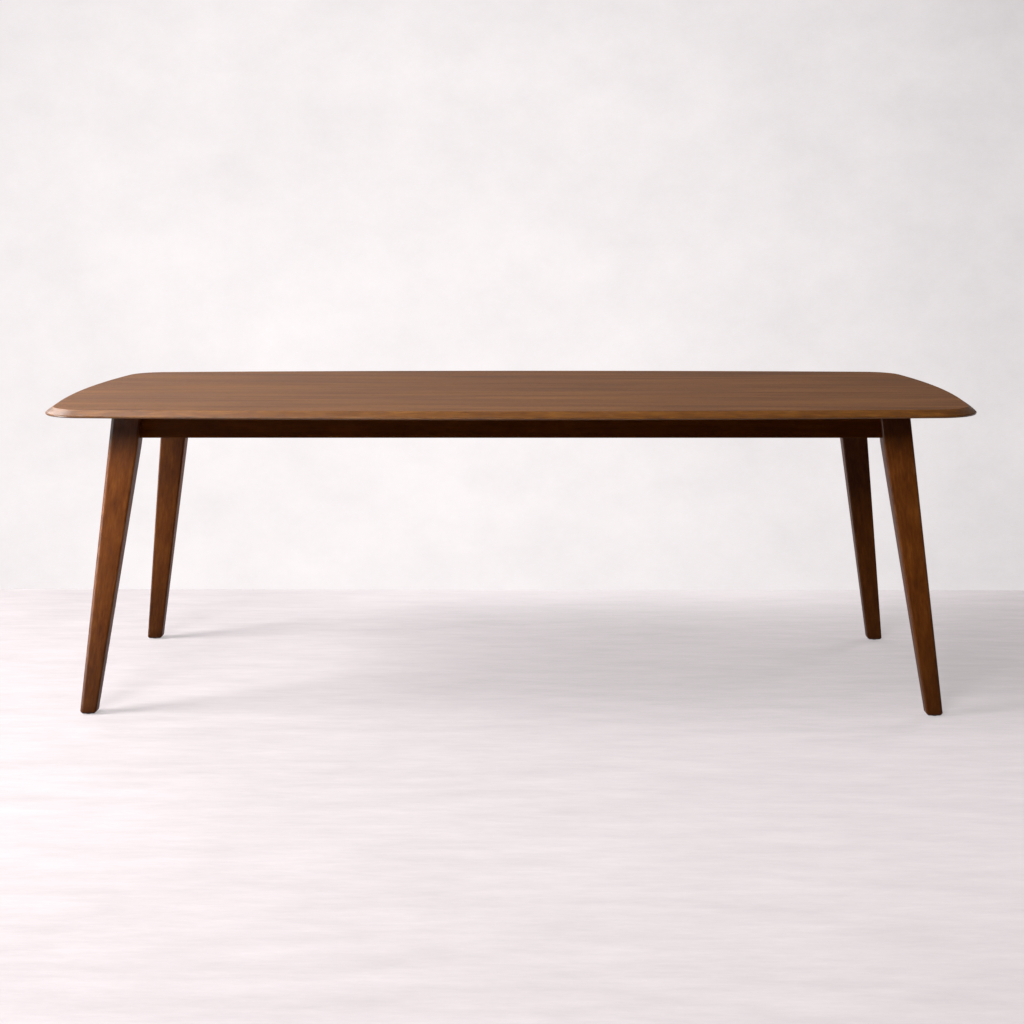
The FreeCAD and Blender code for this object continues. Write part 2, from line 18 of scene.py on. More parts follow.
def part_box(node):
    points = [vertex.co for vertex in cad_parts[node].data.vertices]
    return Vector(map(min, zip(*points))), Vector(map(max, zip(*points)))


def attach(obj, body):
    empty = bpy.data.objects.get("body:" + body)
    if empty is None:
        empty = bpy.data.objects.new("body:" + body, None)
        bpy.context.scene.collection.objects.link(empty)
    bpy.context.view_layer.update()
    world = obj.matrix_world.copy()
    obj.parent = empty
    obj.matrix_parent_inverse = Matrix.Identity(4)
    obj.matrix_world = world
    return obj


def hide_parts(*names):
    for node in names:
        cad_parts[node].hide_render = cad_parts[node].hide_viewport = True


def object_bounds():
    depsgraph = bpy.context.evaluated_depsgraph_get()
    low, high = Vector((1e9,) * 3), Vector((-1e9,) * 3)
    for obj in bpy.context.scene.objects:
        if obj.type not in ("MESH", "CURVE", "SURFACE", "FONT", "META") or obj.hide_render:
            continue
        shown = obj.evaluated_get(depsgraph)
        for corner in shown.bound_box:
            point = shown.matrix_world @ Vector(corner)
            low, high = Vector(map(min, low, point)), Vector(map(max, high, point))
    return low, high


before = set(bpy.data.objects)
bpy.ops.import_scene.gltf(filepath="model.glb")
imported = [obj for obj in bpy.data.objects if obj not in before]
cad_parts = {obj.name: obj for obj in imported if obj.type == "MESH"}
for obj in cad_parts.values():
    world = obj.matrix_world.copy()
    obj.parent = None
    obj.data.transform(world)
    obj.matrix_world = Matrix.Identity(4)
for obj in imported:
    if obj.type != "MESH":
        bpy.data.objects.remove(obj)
cad_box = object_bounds()
log = logging.getLogger("dining_table")

Array = np.ndarray
Pair = tuple[float, float]
Triple = tuple[float, float, float]
Colour = Triple
Socket = bpy.types.NodeSocket
Value = Union[Socket, float]
Tint = Union[Socket, Colour]

BODY = "root"
MILLIMETRE = 0.001
SHARP_ANGLE = math.radians(28.0)
SAME_PLACE_DIGITS = 6
NOISE_MEAN = 0.5
FRAME_ORIGIN = (0.0, 0.0, 0.0)
BLACK = (0.0, 0.0, 0.0)
GRAIN_MAP = "grain"
WEAR_MAP = "wear"


def srgb(red: float, green: float, blue: float) -> Colour:
    """Turns a colour written as screen values from 0 to 255 into linear light.

    Args:
        red, green, blue: screen values.

    Returns:
        The same colour in linear light, from 0 to 1.
    """
    values = np.array([red, green, blue]) / 255.0
    linear = np.where(values <= 0.04045, values / 12.92, ((values + 0.055) / 1.055) ** 2.4)
    return tuple(float(v) for v in linear)


class Place(Enum):
    """A place in the table, after which the solids there are named."""

    def node(self, kind: str) -> str:
        """Name of the solid of that kind at this place."""
        return f"{kind}_{self.name.lower()}"


class Quarter(Place):
    """The four corners of the table, with the signs of their X and Y."""

    FRONT_LEFT = (-1, -1)
    FRONT_RIGHT = (1, -1)
    BACK_LEFT = (-1, 1)
    BACK_RIGHT = (1, 1)

    def signs(self) -> Array:
        """Factors that carry a point of the +X +Y quarter to this one."""
        return np.array([*self.value, 1.0])


class Side(Place):
    """The four sides of the table.

    Each has the signs that carry the +X or +Y side to it, and whether it is a long side.
    """

    FRONT = ((1, -1), True)
    BACK = ((1, 1), True)
    LEFT = ((-1, 1), False)
    RIGHT = ((1, 1), False)

    @property
    def long(self) -> bool:
        """True for the front and the back."""
        return self.value[1]

    def signs(self) -> Array:
        """Factors that carry a point of the +X or +Y side to this one."""
        return np.array([*self.value[0], 1.0])


class Timber(Enum):
    """Which way the grain of a straight piece runs in the table's frame, as angles about Z."""

    LENGTHWISE = 0.0
    CROSSWISE = math.pi / 2
    RISING_CORNER = math.pi / 4
    FALLING_CORNER = -math.pi / 4


# Meshes from arrays


def grid_quads(rows: int, columns: int, tube: bool, ring: bool = False) -> Array:
    """Quads over a grid of vertices that is stored row by row.

    Args:
        rows, columns: size of the grid.
        tube: joins the last column to the first.
        ring: joins the last row to the first.

    Returns:
        One row of four vertex numbers for each quad.
    """
    row = np.arange(rows if ring else rows - 1)[:, None]
    column = np.arange(columns if tube else columns - 1)[None, :]
    beside = (column + 1) % columns
    here = row * columns
    below = (row + 1) % rows * columns
    corners = (here + column, here + beside, below + beside, below + column)
    return np.stack(np.broadcast_arrays(*corners), -1).reshape(-1, 4)


@dataclass
class Surface:
    """A closed mesh in the making, with the maps that its finish reads.

    Attributes:
        points: x, y and z of each vertex.
        faces: lists of vertex numbers.
        grain: place of each vertex in the piece's own timber, along, across and through the grain, in metres.
        wear: how much each vertex lies on a rubbed edge, from 0 to 1.
    """

    points: Array
    faces: list[list[int]]
    grain: Array
    wear: Array

    @classmethod
    def carried(cls, sections: Array, grain: Array, wear: Array) -> "Surface":
        """A closed section carried along a path, with flat caps at both ends.

        Args:
            sections: rows of sections, each a closed loop of points, as an array of rows, columns and 3.
            grain: like sections, the place in the timber.
            wear: rows by columns.

        Returns:
            The closed surface: a grid of quads that joins each section to the next, and two end faces.
        """
        rows, columns = sections.shape[:2]
        faces = grid_quads(rows, columns, True).tolist()
        faces.append(list(range(columns))[::-1])
        faces.append(list(range((rows - 1) * columns, rows * columns)))
        return cls(sections.reshape(-1, 3), faces, grain.reshape(-1, 3), wear.reshape(-1))

    @classmethod
    def bare(cls, sections: Array, ring: bool) -> "Surface":
        """A metal piece, with no grain and no rubbed edges.

        Args:
            sections: rows of sections, each a closed loop of points, as an array of rows, columns and 3.
            ring: joins the last section to the first, instead of capping both.

        Returns:
            The closed surface.
        """
        rows, columns = sections.shape[:2]
        surface = cls.carried(sections, sections, np.zeros((rows, columns)))
        if ring:
            surface.faces = grid_quads(rows, columns, True, ring).tolist()
        return surface

    @classmethod
    def joined(cls, surfaces: list["Surface"]) -> "Surface":
        """Several surfaces as one mesh, each numbered on from those before it.

        Args:
            surfaces: the surfaces, which stay separate shells.

        Returns:
            One surface with all their points and faces.
        """
        starts = np.cumsum([0] + [len(surface.points) for surface in surfaces]).tolist()
        faces = [[start + corner for corner in face]
                 for start, surface in zip(starts, surfaces) for face in surface.faces]
        points, grain, wear = (np.concatenate([getattr(surface, field) for surface in surfaces])
                               for field in ("points", "grain", "wear"))
        return cls(points, faces, grain, wear)

    def build(self, name: str) -> bpy.types.Object:
        """Makes the mesh object: faces turned outwards, smooth shading, and sharp edges where it is creased.

        Args:
            name: name of the new piece.

        Returns:
            The object, at the origin.
        """
        mesh = bpy.data.meshes.new(name)
        mesh.from_pydata(self.points.tolist(), [], self.faces)
        for label, kind, field, values in (
            (GRAIN_MAP, "FLOAT_VECTOR", "vector", self.grain),
            (WEAR_MAP, "FLOAT", "value", self.wear),
        ):
            attribute = mesh.attributes.new(label, kind, "POINT")
            attribute.data.foreach_set(field, np.ascontiguousarray(values, np.float32).ravel())
        shell = bmesh.new()
        shell.from_mesh(mesh)
        bmesh.ops.recalc_face_normals(shell, faces=shell.faces)
        shell.to_mesh(mesh)
        shell.free()
        mesh.shade_smooth()
        mesh.set_sharp_from_angle(angle=SHARP_ANGLE)
        piece = bpy.data.objects.new(name, mesh)
        bpy.context.scene.collection.objects.link(piece)
        return piece


def hand_over(piece: bpy.types.Object, finish: bpy.types.Material, slot: str, *nodes: str) -> None:
    """Dresses a finished piece and lets it stand for its solids.

    Args:
        piece: the new piece.
        finish: its material.
        slot: the record's material slot; not used.
        nodes: the solids that it replaces.
    """
    piece.data.materials.append(finish)
    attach(piece, BODY)
    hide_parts(*nodes)
    log.info("%s: %d faces, stands for %s", piece.name, len(piece.data.polygons), ", ".join(nodes))


# Finishes


class NodeBoard:
    """A node tree, with short calls for what the finishes and the world share."""

    def __init__(self, tree: bpy.types.NodeTree) -> None:
        """Takes the tree to work on."""
        self.tree = tree

    def add(self, kind: str, **settings: object) -> bpy.types.Node:
        """Adds a node.

        Args:
            kind: its type.
            settings: its properties.

        Returns:
            The new node.
        """
        node = self.tree.nodes.new(kind)
        for label, value in settings.items():
            setattr(node, label, value)
        return node

    def join(self, source: Socket, target: Socket) -> None:
        """Links two sockets."""
        self.tree.links.new(source, target)

    def feed(self, target: Socket, value: Union[Value, Triple]) -> None:
        """Links a socket to an input, or sets the input to a plain value.

        Args:
            target: the input.
            value: a socket, a number, or a colour or vector.
        """
        if isinstance(value, Socket):
            self.join(value, target)
        elif isinstance(value, tuple):
            target.default_value = (*value, 1.0) if len(target.default_value) == 4 else value
        else:
            target.default_value = value

    def split(self, vector: Socket) -> tuple[Socket, ...]:
        """Takes a vector apart.

        Args:
            vector: the vector.

        Returns:
            Its X, Y and Z.
        """
        node = self.add("ShaderNodeSeparateXYZ")
        self.join(vector, node.inputs[0])
        return tuple(node.outputs)

    def maths(self, operation: str, first: Value, second: Value) -> Socket:
        """One arithmetic step.

        Args:
            operation: its name.
            first, second: what it works on.

        Returns:
            Its result.
        """
        node = self.add("ShaderNodeMath", operation=operation)
        self.feed(node.inputs[0], first)
        self.feed(node.inputs[1], second)
        return node.outputs[0]

    def times(self, first: Value, second: Value) -> Socket:
        """The product of two values."""
        return self.maths("MULTIPLY", first, second)

    def larger(self, first: Value, second: Value) -> Socket:
        """The larger of two values."""
        return self.maths("MAXIMUM", first, second)

    def total(self, *terms: Value) -> Socket:
        """Adds several values.

        Args:
            terms: the values.

        Returns:
            Their sum.
        """
        result = terms[0]
        for term in terms[1:]:
            result = self.maths("ADD", result, term)
        return result

    def measure(self, operation: str, vector: Socket, other: Triple) -> Socket:
        """One number from two vectors.

        Args:
            operation: DISTANCE or DOT_PRODUCT.
            vector, other: the vectors.

        Returns:
            The distance between them, or their product.
        """
        node = self.add("ShaderNodeVectorMath", operation=operation)
        self.join(vector, node.inputs[0])
        self.feed(node.inputs[1], other)
        return node.outputs["Value"]

    def noise(self, place: Socket, features: Union[Pair, Triple], detail: float,
              roughness: float = 0.5) -> Socket:
        """Noise stretched along the grain.

        Args:
            place: coordinates in metres.
            features: per metre along and across the grain, and through it where that differs.
            detail: octaves.
            roughness: share of each finer octave.

        Returns:
            A value from 0 to 1 about a mean of 0.5.
        """
        along, across = features[:2]
        mapping = self.add("ShaderNodeMapping")
        self.feed(mapping.inputs["Scale"], (along, across, features[-1]))
        self.join(place, mapping.inputs["Vector"])
        node = self.add("ShaderNodeTexNoise")
        self.feed(node.inputs["Scale"], 1.0)
        self.feed(node.inputs["Detail"], detail)
        self.feed(node.inputs["Roughness"], roughness)
        self.join(mapping.outputs["Vector"], node.inputs["Vector"])
        return node.outputs["Fac"]

    def swing(self, value: Socket, amount: float) -> Socket:
        """A noise value as a swing about zero of that amount each way."""
        return self.times(self.maths("SUBTRACT", value, NOISE_MEAN), 2.0 * amount)

    def ramp(self, value: Socket, places: tuple[float, ...], colours: tuple[Colour, ...]) -> Socket:
        """A colour ramp.

        Args:
            value: where it is read.
            places, colours: its stops.

        Returns:
            The colour there.
        """
        node = self.add("ShaderNodeValToRGB")
        elements = node.color_ramp.elements
        while len(elements) < len(places):
            elements.new(0.5)
        for element, place, colour in zip(elements, places, colours):
            element.position = place
            element.color = (*colour, 1.0)
        self.join(value, node.inputs["Fac"])
        return node.outputs["Color"]

    def between(self, value: Socket, low: float, high: float) -> Socket:
        """A smooth step.

        Args:
            value: what it follows.
            low, high: values at which it is 0 and 1.

        Returns:
            The step.
        """
        node = self.add("ShaderNodeMapRange", interpolation_type="SMOOTHSTEP")
        self.feed(node.inputs["Value"], value)
        self.feed(node.inputs["From Min"], low)
        self.feed(node.inputs["From Max"], high)
        return node.outputs["Result"]

    def blend(self, share: Value, first: Tint, second: Tint) -> Socket:
        """A mix of two colours.

        Args:
            share: of the second one.
            first, second: the colours.

        Returns:
            The mix.
        """
        node = self.add("ShaderNodeMix", data_type="RGBA")
        self.feed(node.inputs["Factor"], share)
        targets = [socket for socket in node.inputs if socket.type == "RGBA"]
        for target, colour in zip(targets, (first, second)):
            self.feed(target, colour)
        return next(socket for socket in node.outputs if socket.type == "RGBA")

    def mix_shaders(self, share: Socket, first: bpy.types.Node, second: bpy.types.Node, output: str) -> None:
        """Sends a mix of two shaders to the output.

        Args:
            share: of the second one.
            first, second: the shaders.
            output: name of the output node.
        """
        mix = self.add("ShaderNodeMixShader")
        self.join(share, mix.inputs[0])
        self.join(first.outputs[0], mix.inputs[1])
        self.join(second.outputs[0], mix.inputs[2])
        self.join(mix.outputs[0], self.tree.nodes[output].inputs["Surface"])


class FinishBoard(NodeBoard):
    """The node tree of one material, about its Principled shader."""

    def __init__(self, name: str) -> None:
        """Starts a plain material.

        Args:
            name: name of the material.
        """
        self.material = bpy.data.materials.new(name)
        self.material.use_nodes = True
        super().__init__(self.material.node_tree)
        self.shader = self.tree.nodes["Principled BSDF"]

    def attribute(self, label: str, output: str) -> Socket:
        """Reads one of the piece's own maps."""
        node = self.add("ShaderNodeAttribute", attribute_name=label, attribute_type="GEOMETRY")
        return node.outputs[output]

    def object_place(self, timber: Timber) -> Socket:
        """Object coordinates, turned about Z so that their X runs along the grain.

        Args:
            timber: which way the grain runs.

        Returns:
            The coordinates.
        """
        place = self.add("ShaderNodeTexCoord").outputs["Object"]
        mapping = self.add("ShaderNodeMapping")
        self.feed(mapping.inputs["Rotation"], (0.0, 0.0, -timber.value))
        self.join(place, mapping.inputs["Vector"])
        return mapping.outputs["Vector"]

    def paint(self, colour: Tint, roughness: Value) -> None:
        """Feeds the shader its colour and its roughness."""
        self.feed(self.shader.inputs["Base Color"], colour)
        self.feed(self.shader.inputs["Roughness"], roughness)

    def glow(self, colour: Colour, strength: Socket) -> None:
        """Feeds the shader the light that it gives off."""
        self.feed(self.shader.inputs["Emission Color"], colour)
        self.feed(self.shader.inputs["Emission Strength"], strength)

    def shine(self, specular: float, metallic: float = 0.0) -> None:
        """Sets what is the same all over the surface."""
        self.feed(self.shader.inputs["Specular IOR Level"], specular)
        self.feed(self.shader.inputs["Metallic"], metallic)

    def bump(self, height: Socket, depth: float) -> None:
        """Lets a height raise the surface.

        Args:
            height: from 0 to 1.
            depth: what a height of 1 stands for, in metres.
        """
        node = self.add("ShaderNodeBump")
        self.feed(node.inputs["Strength"], 1.0)
        self.feed(node.inputs["Distance"], depth)
        self.feed(node.inputs["Height"], height)
        self.join(node.outputs["Normal"], self.shader.inputs["Normal"])

    def see_through_behind(self) -> None:
        """Lets the surface be seen through from behind."""
        behind = self.add("ShaderNodeNewGeometry").outputs["Backfacing"]
        self.mix_shaders(behind, self.shader, self.add("ShaderNodeBsdfTransparent"), "Material Output")


@dataclass(frozen=True)
class StainedWood:
    """Open-pored timber under a brown stain and a satin lacquer. It follows the piece's own grain map.

    A pattern is given by its features per metre, along and across the grain. Its swing is how far it moves
    the tone, and its gloss how far it moves the roughness.

    Attributes:
        name: name of the material.
        dark, middle, light: tones of the stain.
        worn: tone where the stain is rubbed through at an edge.
        blotch, blotch_swing, blotch_gloss: the uneven stain.
        figure, figure_swing: the growth figure.
        fibre, fibre_swing, fibre_gloss, fibre_height: the fibres, and their share of the relief.
        fleck, fleck_swing: the short ray flecks.
        wander, sway: how the figure wanders, and how far sideways, in metres.
        pore, pore_edge: the open pores, and the noise between which each begins.
        pore_share, pore_tone: how much of the stain a pore hides, and its tone as a share of the dark one.
        pore_gloss, pore_depth: how much rougher a pore is, and its share of the relief.
        rub, rub_edge: the rubbed patches of an edge, and the noise between which each begins.
        wear_share: how much of the edge is rubbed.
        tone_stops: where on the sum of the patterns the three tones stand.
        roughness, specular: of the lacquer.
        relief: height of the grain, in metres.
        foot_painted_shade: painted shade, how much darker the colour is made towards the floor.
        painted_shade_reach: up to what height that painted shade goes.
        painted_shade_tone: tone of the painted shade at the floor, as a share of the dark one.
    """

    name: str
    dark: Colour
    middle: Colour
    light: Colour
    worn: Colour
    blotch: Pair = (4.0, 9.0)
    blotch_swing: float = 0.35
    blotch_gloss: float = 0.04
    figure: Pair = (1.2, 42.0)
    figure_swing: float = 0.35
    fibre: Pair = (16.0, 640.0)
    fibre_swing: float = 0.16
    fibre_gloss: float = 0.05
    fibre_height: float = 0.35
    fleck: Pair = (55.0, 210.0)
    fleck_swing: float = 0.1
    wander: Pair = (1.3, 6.0)
    sway: float = 0.018
    pore: Pair = (75.0, 2100.0)
    pore_edge: Pair = (0.60, 0.70)
    pore_share: float = 0.4
    pore_tone: float = 0.45
    pore_gloss: float = 0.12
    pore_depth: float = 0.6
    rub: Pair = (40.0, 60.0)
    rub_edge: Pair = (0.35, 0.75)
    wear_share: float = 0.4
    tone_stops: Triple = (0.2, 0.5, 0.8)
    roughness: float = 0.4
    specular: float = 0.4
    relief: float = 0.00012
    foot_painted_shade: float = 0.0
    painted_shade_reach: float = 0.42
    painted_shade_tone: float = 0.1

    def darkened(self, share: float) -> Colour:
        """A share of the dark tone."""
        return tuple(share * value for value in self.dark)

    def wandering(self, board: FinishBoard, grain: Socket) -> Socket:
        """Lets the grain wander.

        Args:
            board: the nodes.
            grain: places in the timber.

        Returns:
            The places, moved across and through the grain by a slow noise.
        """
        aside = board.swing(board.noise(grain, self.wander, detail=2.0), self.sway)
        shift = board.add("ShaderNodeCombineXYZ")
        board.join(aside, shift.inputs["Y"])
        board.join(aside, shift.inputs["Z"])
        moved = board.add("ShaderNodeVectorMath", operation="ADD")
        board.join(grain, moved.inputs[0])
        board.join(shift.outputs[0], moved.inputs[1])
        return moved.outputs[0]

    def material(self) -> bpy.types.Material:
        """Builds the node material.

        Returns:
            The material: a tone from stain, figure and fibres, with dark pores and rubbed edges.
        """
        board = FinishBoard(self.name)
        grain = board.attribute(GRAIN_MAP, "Vector")
        moved = self.wandering(board, grain)
        blotch = board.noise(grain, self.blotch, detail=3.0, roughness=0.55)
        figure = board.noise(moved, self.figure, detail=3.0, roughness=0.6)
        fibre = board.noise(moved, self.fibre, detail=2.0, roughness=0.6)
        fleck = board.noise(moved, self.fleck, detail=2.0, roughness=0.6)
        pores = board.between(board.noise(moved, self.pore, detail=1.0), *self.pore_edge)
        patches = board.between(board.noise(grain, self.rub, detail=3.0), *self.rub_edge)

        tone = board.total(
            board.swing(blotch, self.blotch_swing),
            board.swing(figure, self.figure_swing),
            board.swing(fibre, self.fibre_swing),
            board.swing(fleck, self.fleck_swing),
            NOISE_MEAN,
        )
        stain = board.ramp(tone, self.tone_stops, (self.dark, self.middle, self.light))
        pored = board.blend(board.times(pores, self.pore_share), stain, self.darkened(self.pore_tone))
        rubbed = board.times(board.attribute(WEAR_MAP, "Fac"), patches)
        colour = board.blend(board.times(rubbed, self.wear_share), pored, self.worn)
        # Painted shade: the colour darkens towards the floor, in place of light that falls off there.
        if self.foot_painted_shade > 0.0:
            height = board.split(board.object_place(Timber.LENGTHWISE))[2]
            low = board.times(board.between(height, self.painted_shade_reach, 0.0), self.foot_painted_shade)
            colour = board.blend(low, colour, self.darkened(self.painted_shade_tone))

        rough = board.total(board.swing(fibre, self.fibre_gloss), board.swing(blotch, self.blotch_gloss),
                            self.roughness, board.times(pores, self.pore_gloss))
        board.paint(colour, rough)
        raised = board.times(fibre, self.fibre_height)
        sunk = board.times(pores, self.pore_depth)
        board.bump(board.maths("SUBTRACT", raised, sunk), self.relief)
        board.shine(self.specular)
        return board.material


@dataclass(frozen=True)
class Pattern:
    """One noise of a plain finish.

    Attributes:
        features: per metre along and across the grain.
        detail, fineness: its octaves, and the share of each finer one.
        swing, gloss: how far it moves the tone and the roughness.
        height: its share of the relief.
    """

    features: Pair
    detail: float
    fineness: float = 0.5
    swing: float = 0.0
    gloss: float = 0.0
    height: float = 0.0


@dataclass(frozen=True)
class PlainFinish:
    """A finish of two tones for what is hidden under the top.

    Attributes:
        name: name of the material.
        deep, pale: its tones.
        stops: where on the sum of the patterns the two tones stand.
        patterns: what moves the tone, the roughness and the height.
        roughness: on average.
        relief: height of the patterns, in metres.
        specular, metallic: reflection.
        timber: which way the patterns run.
    """

    name: str
    deep: Colour
    pale: Colour
    stops: Pair
    patterns: tuple[Pattern, ...]
    roughness: float
    relief: float
    specular: float
    metallic: float = 0.0
    timber: Timber = Timber.LENGTHWISE

    def material(self) -> bpy.types.Material:
        """Builds the node material.

        Returns:
            The material, in which each pattern moves the tone, the roughness and the height.
        """
        board = FinishBoard(self.name)
        place = board.object_place(self.timber)
        noises = [(board.noise(place, pattern.features, pattern.detail, pattern.fineness), pattern)
                  for pattern in self.patterns]
        tone = board.total(*(board.swing(noise, pattern.swing) for noise, pattern in noises), NOISE_MEAN)
        rough = board.total(*(board.swing(noise, pattern.gloss) for noise, pattern in noises), self.roughness)
        board.paint(board.ramp(tone, self.stops, (self.deep, self.pale)), rough)
        height = board.total(*(board.times(noise, pattern.height) for noise, pattern in noises))
        board.bump(height, self.relief)
        board.shine(self.specular, self.metallic)
        return board.material


@dataclass(frozen=True)
class BareTimber(PlainFinish):
    """Sawn hardwood without a finish: growth figure and fibres along the grain, and saw marks across it."""

    deep: Colour = srgb(150, 108, 66)
    pale: Colour = srgb(196, 158, 112)
    stops: Pair = (0.15, 0.85)
    patterns: tuple[Pattern, ...] = (
        Pattern((3.0, 70.0), detail=3.0, fineness=0.6, swing=0.45),
        Pattern((25.0, 700.0), detail=2.0, fineness=0.6, swing=0.3, gloss=0.08, height=0.6),
        Pattern((420.0, 9.0), detail=1.0, height=0.4),
    )
    roughness: float = 0.72
    relief: float = 0.0002
    specular: float = 0.25


@dataclass(frozen=True)
class PressedBoard(PlainFinish):
    """Fibre board for the core of the top: fine chips, and faint clouds."""

    deep: Colour = srgb(128, 98, 66)
    pale: Colour = srgb(181, 150, 112)
    stops: Pair = (0.2, 0.8)
    patterns: tuple[Pattern, ...] = (
        Pattern((500.0, 900.0), detail=3.0, fineness=0.7, swing=0.6, gloss=0.1, height=1.0),
        Pattern((20.0, 20.0), detail=2.0, swing=0.2),
    )
    roughness: float = 0.8
    relief: float = 0.0002
    specular: float = 0.2


@dataclass(frozen=True)
class ZincPlate(PlainFinish):
    """Bright zinc on steel: a crystalline bloom, dulled in patches by handling, and fine drawing marks."""

    deep: Colour = srgb(150, 148, 140)
    pale: Colour = srgb(203, 204, 202)
    stops: Pair = (0.2, 0.8)
    patterns: tuple[Pattern, ...] = (
        Pattern((220.0, 220.0), detail=3.0, fineness=0.6, swing=0.5, gloss=0.12),
        Pattern((300.0, 2600.0), detail=1.0, swing=0.15, gloss=0.06, height=1.0),
    )
    roughness: float = 0.36
    relief: float = 0.00003
    specular: float = 0.5
    metallic: float = 1.0


@dataclass(frozen=True)
class GlideNylon:
    """Dark moulded nylon, scuffed by the floor.

    Attributes:
        name: name of the material.
        body, scuffed: its tones.
        scuff, scuff_edge: features per metre of the scuffs, and the noise between which each begins.
        roughness, scuff_gloss: of the body, and how much rougher a scuff is.
        relief: height of the scuffs, in metres.
        specular: reflection.
    """

    name: str
    body: Colour = srgb(46, 36, 30)
    scuffed: Colour = srgb(84, 72, 62)
    scuff: Triple = (300.0, 2400.0, 900.0)
    scuff_edge: Pair = (0.55, 0.75)
    roughness: float = 0.42
    scuff_gloss: float = 0.2
    relief: float = 0.00005
    specular: float = 0.4

    def material(self) -> bpy.types.Material:
        """Builds the node material.

        Returns:
            The material, with fine scuffs.
        """
        board = FinishBoard(self.name)
        place = board.object_place(Timber.RISING_CORNER)
        scuffs = board.between(board.noise(place, self.scuff, detail=2.0), *self.scuff_edge)
        rough = board.total(board.times(scuffs, self.scuff_gloss), self.roughness)
        board.paint(board.blend(scuffs, self.body, self.scuffed), rough)
        board.bump(scuffs, self.relief)
        board.shine(self.specular)
        return board.material


# The top


@dataclass
class ArcPath:
    """A path of arcs about vertical axes, as arrays with one entry for each step.

    Attributes:
        centre: x and y of the arc's axis.
        radius: of the arc.
        angle: direction from the axis to the path, which is also the outward direction.
    """

    centre: Array
    radius: Array
    angle: Array

    @classmethod
    def arc(cls, centre: Pair, radius: float, start: float, stop: float, steps: int) -> "ArcPath":
        """One arc between two angles."""
        angle = np.linspace(start, stop, steps + 1)
        return cls(np.tile(centre, (steps + 1, 1)), np.full(steps + 1, radius), angle)

    def then(self, other: "ArcPath") -> "ArcPath":
        """This path followed by another.

        Args:
            other: a path that starts where this one ends.

        Returns:
            Both as one path, with the shared step kept once.
        """
        return ArcPath(
            np.vstack([self.centre, other.centre[1:]]),
            np.concatenate([self.radius, other.radius[1:]]),
            np.concatenate([self.angle, other.angle[1:]]),
        )

    def carry(self, inset: Array, height: Array) -> Array:
        """Carries a profile along the path: axis + (radius - inset) * outward direction, at each height.

        Args:
            inset: how far each point of the profile lies inside the path.
            height: z of each point of the profile.

        Returns:
            An array of steps, profile points and 3.
        """
        reach = self.radius[:, None] - inset[None, :]
        x = self.centre[:, :1] + reach * np.cos(self.angle)[:, None]
        y = self.centre[:, 1:] + reach * np.sin(self.angle)[:, None]
        z = np.broadcast_to(height[None, :], x.shape)
        return np.stack([x, y, z], -1)


@dataclass
class Outline:
    """Plan of the top: bowed sides and ends, joined by round corners that touch both.

    Attributes:
        length, width: overall sizes.
        side_bow, end_bow: how far the sides and ends bow out.
        corner_radius: of the round that joins them.
        bow_steps, corner_steps: how many steps each bow and each half corner takes.
    """

    length: float
    width: float
    side_bow: float = 0.043
    end_bow: float = 0.050
    corner_radius: float = 0.108
    bow_steps: int = 64
    corner_steps: int = 16

    def __post_init__(self) -> None:
        """Works out the arcs: a bow over half a chord has the radius (chord^2 + bow^2) / (2 bow)."""
        half_length, half_width = self.length / 2, self.width / 2
        self.side_radius = (half_length ** 2 + self.side_bow ** 2) / (2 * self.side_bow)
        self.end_radius = (half_width ** 2 + self.end_bow ** 2) / (2 * self.end_bow)
        self.side_centre = np.array([0.0, half_width - self.side_radius])
        self.end_centre = np.array([half_length - self.end_radius, 0.0])
        from_side = self.side_radius - self.corner_radius
        from_end = self.end_radius - self.corner_radius
        line = self.end_centre - self.side_centre
        span = float(np.linalg.norm(line))
        line = line / span
        reach = (from_side ** 2 - from_end ** 2 + span ** 2) / (2 * span)
        rise = math.sqrt(from_side ** 2 - reach ** 2)
        self.corner_centre = self.side_centre + line * reach + np.array([line[1], -line[0]]) * rise
        to_side = self.corner_centre - self.side_centre
        to_end = self.corner_centre - self.end_centre
        self.side_touch = math.atan2(to_side[1], to_side[0])
        self.end_touch = math.atan2(to_end[1], to_end[0])
        self.mitre = (self.side_touch + self.end_touch) / 2

    def side(self) -> ArcPath:
        """The +Y side.

        Returns:
            Its path from mitre to mitre, with half a corner at each end.
        """
        x, y = self.corner_centre
        touch, across = self.side_touch, math.pi - self.side_touch
        first = ArcPath.arc((x, y), self.corner_radius, self.mitre, touch, self.corner_steps)
        bow = ArcPath.arc(tuple(self.side_centre), self.side_radius, touch, across, self.bow_steps)
        last = ArcPath.arc((-x, y), self.corner_radius, across, math.pi - self.mitre, self.corner_steps)
        return first.then(bow).then(last)

    def end(self) -> ArcPath:
        """The +X end.

        Returns:
            Its path from mitre to mitre, with half a corner at each end.
        """
        x, y = self.corner_centre
        touch = self.end_touch
        first = ArcPath.arc((x, -y), self.corner_radius, -self.mitre, -touch, self.corner_steps)
        bow = ArcPath.arc(tuple(self.end_centre), self.end_radius, -touch, touch, self.bow_steps)
        last = ArcPath.arc((x, y), self.corner_radius, touch, self.mitre, self.corner_steps)
        return first.then(bow).then(last)

    def loop(self, inset: Array, height: Array) -> Array:
        """A profile carried once round the whole outline.

        Args:
            inset, height: the profile.

        Returns:
            An array of steps round the top, profile points and 3, whose last step is next to the first.
        """
        side = self.side().carry(inset, height)
        end = self.end().carry(inset, height)
        half_turn = np.array([-1.0, -1.0, 1.0])
        return np.concatenate([end[:-1], side[:-1], (end * half_turn)[:-1], (side * half_turn)[:-1]])


